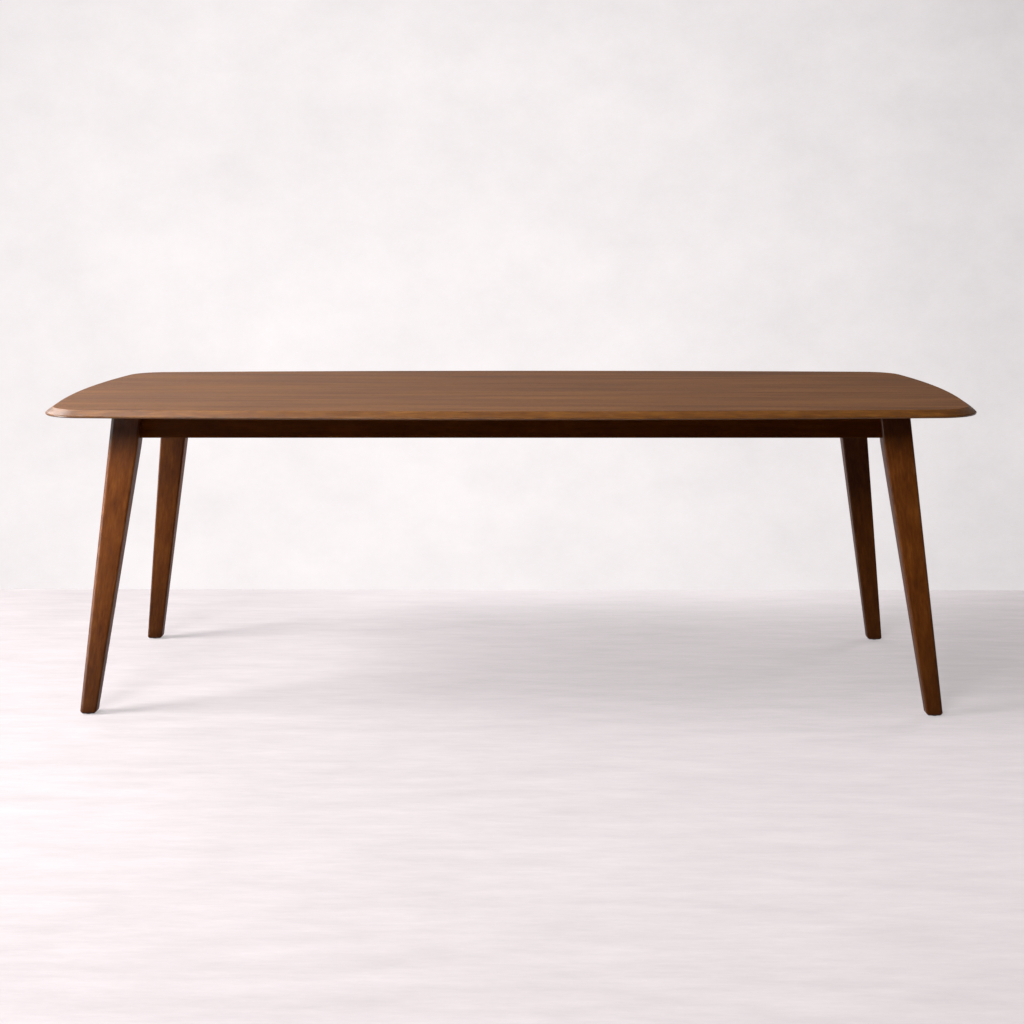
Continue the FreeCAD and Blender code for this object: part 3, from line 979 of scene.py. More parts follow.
@dataclass
class TableTop:
    """The top: a veneered core between four solid lippings, whose bevel runs down to a round nose.

    Attributes:
        outline: its plan.
        underside, surface: heights of its two faces.
        veneer: thickness of the veneers.
        bevel_width: from the nose to the arris, seen from above.
        nose_radius, arris_radius: rounds at the foot and the head of the bevel.
        lipping_width, tongue_depth, tongue_thickness: sizes of the lippings.
        rim_flat: flat beside the arris that belongs to the rim, as a multiple of what its round takes up.
        arris_wear: wear where the arris begins to round.
        bevel_wear_fall: how fast the wear fades down the bevel.
        nose_wear: wear at the nose.
        lipping_grain: place of the first lipping in its timber; the signs of a side carry it to the others.
        bevel_steps, nose_steps, round_steps: steps of the bevel, of the nose, and of the veneers' rounds.
        rings: how many steps lead from the rim of a veneer to its middle.
    """

    outline: Outline
    underside: float
    surface: float
    veneer: float
    bevel_width: float = 0.019
    nose_radius: float = 0.0035
    arris_radius: float = 0.002
    lipping_width: float = 0.042
    tongue_depth: float = 0.008
    tongue_thickness: float = 0.006
    rim_flat: float = 6.0
    arris_wear: float = 0.5
    bevel_wear_fall: float = 3.0
    nose_wear: float = 0.2
    lipping_grain: Triple = (3.1, 1.3, 0.4)
    bevel_steps: int = 8
    nose_steps: int = 10
    round_steps: int = 5
    rings: int = 6

    def __post_init__(self) -> None:
        """Works out where the bevel and the backing veneer meet the nose."""
        self.nose_height = self.underside + self.nose_radius
        run = self.bevel_width - self.nose_radius
        rise = self.surface - self.nose_height
        self.nose_angle = math.atan2(rise, -run) - math.acos(self.nose_radius / math.hypot(run, rise))
        self.foot_inset = self.nose_radius * (1 - math.cos(self.nose_angle))
        self.foot_height = self.nose_height + self.nose_radius * math.sin(self.nose_angle)
        self.slope = math.atan2(self.surface - self.foot_height, self.bevel_width - self.foot_inset)
        self.seam_height = self.surface - self.veneer
        self.seam_inset = self.bevel_width - self.veneer / math.tan(self.slope)
        self.backing_height = self.underside + self.veneer
        self.backing_angle = -math.asin((self.nose_radius - self.veneer) / self.nose_radius)

    def nose(self, turn: Array) -> tuple[Array, Array]:
        """Inset and height of points on the nose, at angles up from its level radius."""
        return self.nose_radius * (1 - np.cos(turn)), self.nose_height + self.nose_radius * np.sin(turn)

    def lipping_profile(self) -> tuple[Array, Array, Array]:
        """Section of a lipping: bevel, nose, underside, tongue.

        Returns:
            Inset, height and wear of each point, in order round the section.
        """
        share = np.linspace(0.0, 1.0, self.bevel_steps + 1)
        bevel_inset = self.seam_inset + (self.foot_inset - self.seam_inset) * share
        bevel_height = self.seam_height + (self.foot_height - self.seam_height) * share
        bevel_wear = np.maximum(1 - self.bevel_wear_fall * share, 0.0)
        turn = np.linspace(self.nose_angle, self.backing_angle, self.nose_steps + 1)[1:]
        nose_inset, nose_height = self.nose(turn)
        nose_wear = self.nose_wear * np.cos(turn) ** 2
        middle = (self.underside + self.surface) / 2
        tongue_low, tongue_high = middle - self.tongue_thickness / 2, middle + self.tongue_thickness / 2
        heel, tip = self.lipping_width, self.lipping_width + self.tongue_depth
        back_inset = [heel, heel, tip, tip, heel, heel]
        back_height = [self.backing_height, tongue_low, tongue_low,
                       tongue_high, tongue_high, self.seam_height]
        inset = np.concatenate([bevel_inset, nose_inset, back_inset])
        height = np.concatenate([bevel_height, nose_height, back_height])
        wear = np.concatenate([bevel_wear, nose_wear, np.zeros(len(back_inset))])
        return inset, height, wear

    def build_lipping(self, side: Side) -> bpy.types.Object:
        """One lipping, its profile carried from mitre to mitre, with the grain along its side.

        Args:
            side: which side of the table.

        Returns:
            The piece.
        """
        inset, height, wear = self.lipping_profile()
        path = self.outline.side() if side.long else self.outline.end()
        points = path.carry(inset, height) * side.signs()
        grain = points if side.long else points[..., [1, 0, 2]]
        offset = np.array(self.lipping_grain) * side.signs()
        surface = Surface.carried(points, grain + offset, np.broadcast_to(wear, points.shape[:2]))
        return surface.build(side.node("edge"))

    def build_sheet(self, name: str, inset: Array, height: Array, wear: Array) -> bpy.types.Object:
        """A veneer: its rim carried round the outline, and rings that shrink to the middle of both faces.

        Args:
            name: name of the piece.
            inset, height: rim profile from the upper face to the lower face.
            wear: wear of each point of the rim.

        Returns:
            The piece.
        """
        rim = self.outline.loop(inset, height)
        shrink = np.linspace(0.0, 1.0, self.rings + 1)[1:-1]
        factors = np.stack([shrink, shrink, np.ones_like(shrink)], -1)
        grid = np.concatenate([rim[:, :1] * factors, rim, rim[:, -1:] * factors[::-1]], 1)
        steps, columns = grid.shape[:2]
        poles = [[0.0, 0.0, height[0]], [0.0, 0.0, height[-1]]]
        points = np.vstack([grid.reshape(-1, 3), poles])
        here = np.arange(steps) * columns
        after = np.roll(here, -1)
        upper_pole, lower_pole = np.full(steps, steps * columns), np.full(steps, steps * columns + 1)
        head = np.stack([upper_pole, after, here], -1)
        tail = np.stack([lower_pole, here + columns - 1, after + columns - 1], -1)
        faces = grid_quads(steps, columns, False, ring=True).tolist() + head.tolist() + tail.tolist()
        flat = np.zeros(len(shrink))
        rub = np.tile(np.concatenate([flat, wear, flat]), steps)
        return Surface(points, faces, points, np.concatenate([rub, np.zeros(len(poles))])).build(name)

    def face_rim(self) -> tuple[Array, Array, Array]:
        """Rim of the face veneer: flat, then an arris rounded into the bevel.

        The round touches both faces at radius * tan(slope / 2) from the sharp arris.

        Returns:
            Inset, height and wear of each point.
        """
        touch = self.arris_radius * math.tan(self.slope / 2)
        turn = np.linspace(0.0, self.slope, self.round_steps + 1)
        round_inset = self.bevel_width + touch - self.arris_radius * np.sin(turn)
        round_height = self.surface - self.arris_radius * (1 - np.cos(turn))
        inset = np.concatenate([[self.bevel_width + self.rim_flat * touch], round_inset, [self.seam_inset]])
        height = np.concatenate([[self.surface], round_height, [self.seam_height]])
        wear = np.concatenate([[0.0], np.linspace(self.arris_wear, 1.0, len(turn)), [1.0]])
        return inset, height, wear

    def backing_rim(self) -> tuple[Array, Array, Array]:
        """Rim of the backing veneer, which follows the foot of the nose.

        Returns:
            Inset, height and wear of each point.
        """
        turn = np.linspace(self.backing_angle, -math.pi / 2, self.round_steps + 1)
        inset, height = self.nose(turn)
        return inset, height, np.zeros_like(turn)

    def dress(self, veneer: bpy.types.Material, lipping: bpy.types.Material,
              backing: bpy.types.Material) -> None:
        """Builds and dresses the veneers and the lippings.

        Args:
            veneer, lipping, backing: their finishes.
        """
        face = self.build_sheet("veneer_face", *self.face_rim())
        hand_over(face, veneer, "walnut_veneer", "top_face_veneer")
        under = self.build_sheet("veneer_backing", *self.backing_rim())
        hand_over(under, backing, "backing_veneer", "top_backing_veneer")
        for side in Side:
            hand_over(self.build_lipping(side), lipping, "stained_lipping", side.node("lipping"))


# Legs and aprons


@dataclass
class LegShape:
    """Sizes of a leg of the +X +Y quarter: two leaning side profiles with a soft shoulder inside.

    Attributes:
        head: height of its top, under the table top.
        foot: height of its lower end, on the glide.
        flat_from: height above which the inner corner is milled flat.
        shoulder: height where the inner faces bend from the head to the taper.
        bend: half the height of that bend.
        foot_spread, head_spread: distance of the outer faces from the middle, at the floor and at the head.
        head_size, foot_size: size of the section there.
        outer_round, inner_round: rounds of the outer corner and of the other three.
        sharpest: smallest round of a corner that the foot chamfer draws in.
        chamfer, chamfer_ease: at the foot, and how far its two edges are eased.
        ease_inset, ease_rise: where the upper eased edge ends, as shares of that.
        taper_from: how far above the chamfer the even rows begin.
        flat_depth: how deep the flat goes in from the corner, along the diagonal.
        arc_steps, taper_rows, bend_rows: steps of a corner, of the taper and of the bend.
    """

    head: float
    foot: float
    flat_from: float
    shoulder: float = 0.647
    bend: float = 0.012
    foot_spread: Pair = (1.041, 0.375)
    head_spread: Pair = (0.946, 0.306)
    head_size: Pair = (0.071, 0.051)
    foot_size: Pair = (0.040, 0.034)
    outer_round: float = 0.010
    inner_round: float = 0.005
    sharpest: float = 0.0008
    chamfer: float = 0.005
    chamfer_ease: float = 0.0007
    ease_inset: float = 0.45
    ease_rise: float = 1.4
    taper_from: float = 0.02
    flat_depth: float = 0.015
    arc_steps: int = 8
    taper_rows: int = 12
    bend_rows: int = 12

    def outer(self, axis: int, height: Array) -> Array:
        """Outer face: a straight line from the foot to the head."""
        spread, top = self.foot_spread[axis], self.head_spread[axis]
        return spread + (top - spread) * height / self.head

    def inner(self, axis: int, height: Array) -> Array:
        """Inner face: parallel to the outer one at the head, then a bend, and a taper below the shoulder.

        In the bend, a share t runs from 0 at its top to 1 at its foot, and the place is
        (1-t)^2 top + 2t(1-t) shoulder + t^2 foot.

        Args:
            axis: 0 for X, 1 for Y.
            height: heights.

        Returns:
            Distance from the middle at each height.
        """
        head_line = self.outer(axis, height) - self.head_size[axis]
        corner = self.outer(axis, np.array(self.shoulder)) - self.head_size[axis]
        floor = self.foot_spread[axis] - self.foot_size[axis]
        foot_line = floor + (corner - floor) * height / self.shoulder
        high, low = self.shoulder + self.bend, self.shoulder - self.bend
        start = self.outer(axis, np.array(high)) - self.head_size[axis]
        stop = floor + (corner - floor) * low / self.shoulder
        t = np.clip((high - height) / (high - low), 0.0, 1.0)
        bent = (1 - t) ** 2 * start + 2 * t * (1 - t) * corner + t ** 2 * stop
        return np.where(height >= high, head_line, np.where(height <= low, foot_line, bent))

    def rows(self) -> tuple[Array, Array, Array]:
        """Where the sections lie, from foot to head.

        Returns:
            Their heights, how far each is drawn in by the foot chamfer, and whether it has the head flat.
        """
        ease, top = self.chamfer_ease, self.foot + self.chamfer
        foot = [self.foot, self.foot + ease, top - ease, top, top + self.ease_rise * ease]
        foot_drawn = [self.chamfer + ease, self.chamfer - ease, ease, self.ease_inset * ease, 0.0]
        low, high = self.shoulder - self.bend, self.shoulder + self.bend
        taper = np.linspace(top + self.taper_from, low, self.taper_rows)
        bend = np.linspace(low, high, self.bend_rows + 1)[1:]
        below_flat = np.concatenate([foot, taper, bend, [self.flat_from]])
        height = np.concatenate([below_flat, [self.flat_from, self.head]])
        drawn = np.zeros_like(height)
        drawn[:len(foot)] = foot_drawn
        flat = np.arange(len(height)) >= len(below_flat)
        return height, drawn, flat

    def flat_sum(self) -> float:
        """x + y on the plane of the flat, taken in from the corner at the middle height of the head."""
        middle = np.array((self.flat_from + self.head) / 2)
        return float(self.inner(0, middle) + self.inner(1, middle) + self.flat_depth * math.sqrt(2))

    def surface(self, quarter: Quarter, offset: Array) -> Surface:
        """The leg of a quarter: rounded sections stacked from foot to head.

        Each corner of a section is an arc, centre + radius * (cos, sin). The inner corner of the head is a
        straight cut instead, between the two places where x + y reaches the flat.

        Args:
            quarter: which corner of the table.
            offset: shifts the grain, so that no two legs look alike.

        Returns:
            The closed surface.
        """
        height, drawn, flat = self.rows()
        out_x, out_y = self.outer(0, height) - drawn, self.outer(1, height) - drawn
        in_x, in_y = self.inner(0, height) + drawn, self.inner(1, height) + drawn
        share = np.linspace(0.0, 1.0, self.arc_steps + 1)
        corners = ((out_x, out_y, 1, 1, self.outer_round), (in_x, out_y, -1, 1, self.inner_round),
                   (in_x, in_y, -1, -1, self.inner_round), (out_x, in_y, 1, -1, self.inner_round))
        loops = []
        for number, (edge_x, edge_y, side_x, side_y, corner_round) in enumerate(corners):
            radius = np.maximum(corner_round - drawn, self.sharpest)[:, None]
            angle = (number + share)[None, :] * math.pi / 2
            x = edge_x[:, None] - side_x * radius + radius * np.cos(angle)
            y = edge_y[:, None] - side_y * radius + radius * np.sin(angle)
            if side_x < 0 and side_y < 0:
                cut = self.flat_sum()
                cut_x = in_x[:, None] + (cut - in_y - in_x)[:, None] * share
                x = np.where(flat[:, None], cut_x, x)
                y = np.where(flat[:, None], cut - cut_x, y)
            loops.append(np.stack([x, y, np.broadcast_to(height[:, None], x.shape)], -1))
        points = np.concatenate(loops, 1)
        axis = np.stack([(out_x + in_x) / 2, (out_y + in_y) / 2], -1)[:, None, :]
        grain = np.stack([points[..., 2], points[..., 0] - axis[..., 0], points[..., 1] - axis[..., 1]], -1)
        rub = np.tile(np.sin(math.pi * share) ** 0.5, 4)
        wear = np.broadcast_to(rub, points.shape[:2]) * np.where(flat, 0.0, 1.0)[:, None]
        return Surface.carried(points * quarter.signs(), grain + offset, wear)


@dataclass
class ApronShape:
    """An apron: a rail with two eased lower edges and ends cut to the lean of the legs.

    Attributes:
        low, high: heights of its edges.
        back, face: distances of its two faces from the middle.
        ease: round of the lower edges.
        grain_place: place of the first apron in its timber; the signs of a side carry it to the others.
        arc_steps: steps of an eased edge.
        rows: sections along the rail.
    """

    low: float
    high: float
    back: float
    face: float
    ease: float = 0.002
    grain_place: Triple = (2.7, 5.1, 0.3)
    arc_steps: int = 5
    rows: int = 9

    def surface(self, leg: LegShape, side: Side) -> Surface:
        """The rail: its section carried between the legs, out to plus and minus their inner faces.

        Args:
            leg: the legs that it fits between.
            side: which side of the table.

        Returns:
            The closed surface.
        """
        turn = np.linspace(0.0, math.pi / 2, self.arc_steps + 1)
        back_round = (self.back + self.ease * (1 - np.cos(turn)), self.low + self.ease * (1 - np.sin(turn)))
        face_round = (self.face - self.ease * (1 - np.sin(turn)), self.low + self.ease * (1 - np.cos(turn)))
        across = np.concatenate([[self.back], back_round[0], face_round[0], [self.face]])
        height = np.concatenate([[self.high], back_round[1], face_round[1], [self.high]])
        reach = leg.inner(0 if side.long else 1, height)
        share = np.linspace(-1.0, 1.0, self.rows)[:, None]
        along = share * reach[None, :]
        broad = np.broadcast_to(across, along.shape)
        z = np.broadcast_to(height, along.shape)
        points = np.stack([along, broad, z] if side.long else [broad, along, z], -1) * side.signs()
        grain = np.stack([along, broad, z], -1) + np.array(self.grain_place) * side.signs()
        rub = np.concatenate([[0.0], np.sin(2 * turn), np.sin(2 * turn), [0.0]])
        return Surface.carried(points, grain, np.broadcast_to(rub, along.shape))


@dataclass
class Base:
    """The legs and the aprons between them.

    Attributes:
        leg: shape of the legs.
        grain_step: how far the timber of each leg lies from that of the one before it.
    """

    leg: LegShape
    grain_step: Triple = (1.7, 0.9, 0.6)

    def dress(self, leg_finish: bpy.types.Material, apron_finish: bpy.types.Material) -> None:
        """Builds and dresses the four legs and the four aprons.

        Args:
            leg_finish, apron_finish: their finishes.
        """
        for number, quarter in enumerate(Quarter, 1):
            offset = np.array(self.grain_step) * number
            piece = self.leg.surface(quarter, offset).build(f"splayed_{quarter.node('leg')}")
            hand_over(piece, leg_finish, "stained_leg", quarter.node("leg"))
        for side in Side:
            low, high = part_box("apron_back" if side.long else "apron_right")
            axis = 1 if side.long else 0
            shape = ApronShape(low.z, high.z, low[axis], high[axis])
            piece = shape.surface(self.leg, side).build(side.node("rail"))
            hand_over(piece, apron_finish, "stained_apron", side.node("apron"))


# The fasteners


@dataclass
class Seat:
    """Where one fastener sits, read from its solid.

    Attributes:
        end: middle of its outer end.
        axis: the way it points, into the wood.
        beside: the direction from the axis to the solid's farthest corner.
        length: from end to end.
    """

    end: Array
    axis: Array
    beside: Array
    length: float

    @classmethod
    def read(cls, points: Array, diagonal: bool) -> "Seat":
        """Finds the seat of one solid, which points up, or away from the middle of the table.

        Args:
            points: the solid's vertices.
            diagonal: True where it crosses a corner of the table; else it lies along its box's longest side.

        Returns:
            The seat.
        """
        middle = (points.min(0) + points.max(0)) / 2
        along = np.array([1.0, 1.0, 0.0]) if diagonal else np.eye(3)[np.argmax(np.ptp(points, 0))]
        axis = np.sign([middle[0], middle[1], 1.0]) * along / np.linalg.norm(along)
        depth = (points - middle) @ axis
        aside = points - middle - np.outer(depth, axis)
        corner = aside[np.argmax(np.linalg.norm(aside, axis=1))]
        return cls(middle + depth.min() * axis, axis, corner / np.linalg.norm(corner), float(np.ptp(depth)))

    def place(self, across: Array, turn: Array, depth: Array) -> Array:
        """Carries points to this seat.

        Args:
            across: their distances from the axis.
            turn: their angles round the axis.
            depth: how far they lie under the outer end.

        Returns:
            The points.
        """
        square = np.cross(self.axis, self.beside)
        across, turn, depth = (values[..., None] for values in np.broadcast_arrays(across, turn, depth))
        return self.end + depth * self.axis + across * (np.cos(turn) * self.beside + np.sin(turn) * square)


def solid_points(node: str) -> list[Array]:
    """Vertices of each separate solid of a group.

    Each vertex takes the lowest number of any that shares a triangle with it, until no number changes.

    Args:
        node: name of the group.

    Returns:
        One array of vertices for each solid.
    """
    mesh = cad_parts[node].data
    mesh.calc_loop_triangles()
    points = np.empty(len(mesh.vertices) * 3)
    mesh.vertices.foreach_get("co", points)
    corners = np.empty(len(mesh.loop_triangles) * 3, np.int32)
    mesh.loop_triangles.foreach_get("vertices", corners)
    rounded = np.round(points.reshape(-1, 3), SAME_PLACE_DIGITS)
    places, numbers = np.unique(rounded, axis=0, return_inverse=True)
    triangles = numbers.reshape(-1)[corners].reshape(-1, 3)
    labels = np.arange(len(places))
    settled = False
    while not settled:
        lowest = labels.copy()
        np.minimum.at(lowest, triangles, labels[triangles].min(1, keepdims=True))
        settled = np.array_equal(lowest, labels)
        labels = lowest
    return [places[labels == label] for label in np.unique(labels)]


def full_circle(columns: int) -> Array:
    """Angles round an axis, as one row."""
    return np.linspace(0.0, 2 * math.pi, columns, endpoint=False)[None, :]


def thread(depth: Array, turn: Array, crest: float, root: float, pitch: float, flank: float) -> Array:
    """Radius of a thread that climbs one pitch in each turn.

    It falls from the crest to the root in step with the distance from the nearest crest.

    Args:
        depth, turn: places along and round the axis.
        crest, root: largest and smallest radius.
        pitch: from crest to crest.
        flank: 1 for a plain V, more for a thin crest with a wide root.

    Returns:
        The radius at each place.
    """
    phase = depth / pitch - turn / (2 * math.pi)
    from_crest = 2 * np.abs(phase - np.round(phase))
    return crest - (crest - root) * np.minimum(from_crest * flank, 1.0)


@dataclass(frozen=True)
class WoodScrew:
    """A wood screw with a crowned head and a cross recess.

    Attributes:
        head_radius, head_height, crown: of the head, and how far its crown rises.
        recess_arm, recess_half_width, recess_depth: of the arms of the cross.
        recess_wall: how far the walls of the recess slope.
        crest, root, pitch, flank: of the thread.
        point, tip_share: length over which it narrows, and the share of its radius that is left at the tip.
        columns, rings, rows_in_turn: steps round the axis, across the head and in each turn of the thread.
    """

    head_radius: float = 4.0 * MILLIMETRE
    head_height: float = 2.6 * MILLIMETRE
    crown: float = 1.3 * MILLIMETRE
    recess_arm: float = 2.1 * MILLIMETRE
    recess_half_width: float = 0.55 * MILLIMETRE
    recess_depth: float = 1.5 * MILLIMETRE
    recess_wall: float = 0.2 * MILLIMETRE
    crest: float = 2.0 * MILLIMETRE
    root: float = 1.4 * MILLIMETRE
    pitch: float = 1.8 * MILLIMETRE
    flank: float = 2.0
    point: float = 3.0 * MILLIMETRE
    tip_share: float = 0.03
    columns: int = 40
    rings: int = 18
    rows_in_turn: int = 6

    def surface(self, seat: Seat) -> Surface:
        """The screw as rings from the middle of its head to its tip.

        The crown sinks with the cube of the radius, and the recess is as deep inside its two crossed arms as
        their walls let it be. Below the head runs the thread, which narrows to the tip.

        Args:
            seat: where it sits.

        Returns:
            The closed surface.
        """
        turn = full_circle(self.columns)
        ring = self.head_radius * np.linspace(self.tip_share, 1.0, self.rings)[:, None]
        sides = np.abs(ring * np.cos(turn)), np.abs(ring * np.sin(turn))
        inside = np.minimum(self.recess_half_width - np.minimum(*sides), self.recess_arm - np.maximum(*sides))
        recess = self.recess_depth * np.clip(inside / self.recess_wall + 0.5, 0.0, 1.0)
        crown = self.crown * (ring / self.head_radius) ** 3 + recess
        rows = math.ceil((seat.length - self.head_height) / self.pitch * self.rows_in_turn)
        depth = np.linspace(self.head_height, seat.length, rows)[:, None]
        narrowing = np.clip((seat.length - depth) / self.point, self.tip_share, 1.0)
        shank = thread(depth, turn, self.crest, self.root, self.pitch, self.flank) * narrowing
        wide = np.ones_like(turn)
        across = np.concatenate([ring * wide, self.head_radius * wide, shank])
        depths = np.concatenate([crown, self.head_height * wide, depth * wide])
        return Surface.bare(seat.place(across, turn, depths), False)


@dataclass(frozen=True)
class HangerBolt:
    """A bolt with a machine thread at its nut end and a pointed wood thread in the leg.

    Attributes:
        radius: of both threads at their crests.
        machine_root, machine_pitch: of the thread for the nut.
        wood_root, wood_pitch, wood_flank, wood_length: of the thread in the leg.
        point, tip_share: length over which it narrows, and the share of its radius that is left at the tip.
        chamfer: at the nut end.
        columns, rows_in_turn: steps round the axis and in each turn of the machine thread.
    """

    radius: float = 4.0 * MILLIMETRE
    machine_root: float = 3.35 * MILLIMETRE
    machine_pitch: float = 1.25 * MILLIMETRE
    wood_root: float = 2.9 * MILLIMETRE
    wood_pitch: float = 3.2 * MILLIMETRE
    wood_flank: float = 2.0
    wood_length: float = 38.0 * MILLIMETRE
    point: float = 5.0 * MILLIMETRE
    chamfer: float = 0.8 * MILLIMETRE
    tip_share: float = 0.03
    columns: int = 20
    rows_in_turn: int = 5

    def surface(self, seat: Seat) -> Surface:
        """The bolt as rings from its nut end, which is chamfered, to its tip.

        Args:
            seat: where it sits.

        Returns:
            The closed surface.
        """
        turn = full_circle(self.columns)
        rows = math.ceil(seat.length / self.machine_pitch * self.rows_in_turn)
        depth = np.linspace(0.0, seat.length, rows)[:, None]
        machine = thread(depth, turn, self.radius, self.machine_root, self.machine_pitch, 1.0)
        wood = thread(depth, turn, self.radius, self.wood_root, self.wood_pitch, self.wood_flank)
        across = np.where(depth > seat.length - self.wood_length, wood, machine)
        across = across * np.clip((seat.length - depth) / self.point, self.tip_share, 1.0)
        across = np.minimum(across, self.radius - self.chamfer + depth)
        return Surface.bare(seat.place(across, turn, depth), False)


@dataclass(frozen=True)
class HexagonNut:
    """A hexagon nut with its corners chamfered at both ends.

    Attributes:
        half_width: from the axis to a flat.
        bore, countersink: radius of the hole, and how much wider it is at both ends.
        face_share: radius of the end faces, as a share of the half width.
        chamfer_slope: how fast the chamfer opens from there.
        columns, rows: steps round and along the axis.
    """

    half_width: float = 6.5 * MILLIMETRE
    bore: float = 4.1 * MILLIMETRE
    countersink: float = 0.5 * MILLIMETRE
    face_share: float = 0.95
    chamfer_slope: float = math.sqrt(3.0)
    columns: int = 72
    rows: int = 25

    def surface(self, seat: Seat) -> Surface:
        """A ring of hexagons, whose radius is cut at both ends by a cone, with a countersunk bore.

        Args:
            seat: where it sits.

        Returns:
            The closed surface.
        """
        turn = full_circle(self.columns)
        sixth = math.pi / 3
        hexagon = self.half_width / np.cos(turn % sixth - sixth / 2)
        depth = np.linspace(0.0, seat.length, self.rows)[:, None]
        face = self.face_share * self.half_width
        from_end = np.minimum(depth, seat.length - depth)
        outside = np.minimum(hexagon, face + self.chamfer_slope * from_end)
        wide = np.ones_like(turn)
        wide_bore = self.bore + self.countersink
        inner = [(wide_bore, seat.length), (self.bore, seat.length - self.countersink),
                 (self.bore, self.countersink), (wide_bore, 0.0)]
        across = np.concatenate([outside] + [radius * wide for radius, _ in inner])
        depths = np.concatenate([depth * wide] + [low * wide for _, low in inner])
        return Surface.bare(seat.place(across, turn, depths), True)


@dataclass(frozen=True)
class FlatWasher:
    """A stamped washer with its edges rounded.

    Attributes:
        bore, radius: of the hole and the rim.
        squareness: power that fills out the oval of its section.
        columns, rows: steps round the axis and round the section.
    """

    bore: float = 4.1 * MILLIMETRE
    radius: float = 8.0 * MILLIMETRE
    squareness: float = 0.25
    columns: int = 64
    rows: int = 24

    def surface(self, seat: Seat) -> Surface:
        """A flattened ring: its section is an oval whose cosine and sine are raised to a small power.

        Args:
            seat: where it sits.

        Returns:
            The closed surface.
        """
        turn = full_circle(self.columns)
        section = full_circle(self.rows).T
        waves = (np.cos(section), np.sin(section))
        flat, high = (np.sign(wave) * np.abs(wave) ** self.squareness for wave in waves)
        across = (self.radius + self.bore) / 2 + (self.radius - self.bore) / 2 * flat
        return Surface.bare(seat.place(across, turn, seat.length / 2 * (1.0 + high)), True)


def dress_fasteners(finish: bpy.types.Material) -> None:
    """Builds every group of fasteners in place of its solids.

    Args:
        finish: their finish.
    """
    screw = WoodScrew()
    for node, shape, diagonal in (
        ("hanger_bolts", HangerBolt(), True),
        ("bolt_washers", FlatWasher(), True),
        ("bolt_nuts", HexagonNut(), True),
        ("corner_block_screws", screw, False),
        ("rail_screws", screw, False),
        ("bracket_screws", screw, False),
    ):
        seats = [Seat.read(points, diagonal) for points in solid_points(node)]
        piece = Surface.joined([shape.surface(seat) for seat in seats]).build(f"detailed_{node}")
        hand_over(piece, finish, "zinc_steel", node)


# What stays as solids


def dress_solid(node: str, finish: bpy.types.Material) -> None:
    """Gives a solid a better material.

    Args:
        node: its name.
        finish: its material.
    """
    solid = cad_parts[node]
    for slot in solid.material_slots:
        slot.material = finish
    log.info("%s: solid kept, finish %s", node, finish.name)


def dress_hidden_solids() -> None:
    """Dresses the core, the frame inside the aprons, the brackets with the fasteners, and the glides."""
    dress_solid("top_core", PressedBoard("pressed core board").material())
    crosswise = BareTimber("bare wood of the cross rails", timber=Timber.CROSSWISE).material()
    for place in ("left", "middle", "right"):
        dress_solid(f"cross_rail_{place}", crosswise)
    rising = BareTimber("bare wood of two corner blocks", timber=Timber.RISING_CORNER).material()
    falling = BareTimber("bare wood of the other corner blocks", timber=Timber.FALLING_CORNER).material()
    nylon = GlideNylon("glide nylon").material()
    for quarter in Quarter:
        same_signs = quarter.value[0] == quarter.value[1]
        dress_solid(quarter.node("corner_block"), falling if same_signs else rising)
        dress_solid(quarter.node("foot_glide"), nylon)
    zinc = ZincPlate("zinc plate").material()
    dress_solid("top_brackets", zinc)
    dress_fasteners(zinc)


# Studio


@dataclass
class Lamp:
    """A soft box: a square area lamp at a place, turned to a target.

    Attributes:
        name: name of the lamp.
        place, target: where it stands and what it faces.
        size: of its square.
        power: in watts.
        sheen_only: shows in reflections and lights nothing else.
        shade_only: lights surfaces without showing in reflections.
    """

    name: str
    place: Triple
    target: Triple
    size: float
    power: float
    sheen_only: bool = False
    shade_only: bool = False

    def build(self) -> None:
        """Adds the lamp to the scene."""
        data = bpy.data.lights.new(self.name, "AREA")
        data.shape = "SQUARE"
        data.size = self.size
        data.energy = self.power
        lamp = bpy.data.objects.new(self.name, data)
        bpy.context.scene.collection.objects.link(lamp)
        away = Vector(self.place) - Vector(self.target)
        lamp.rotation_mode = "QUATERNION"
        lamp.rotation_quaternion = away.to_track_quat("Z", "Y")
        lamp.location = self.place
        lamp.visible_diffuse = not self.sheen_only
        lamp.visible_glossy = not self.shade_only


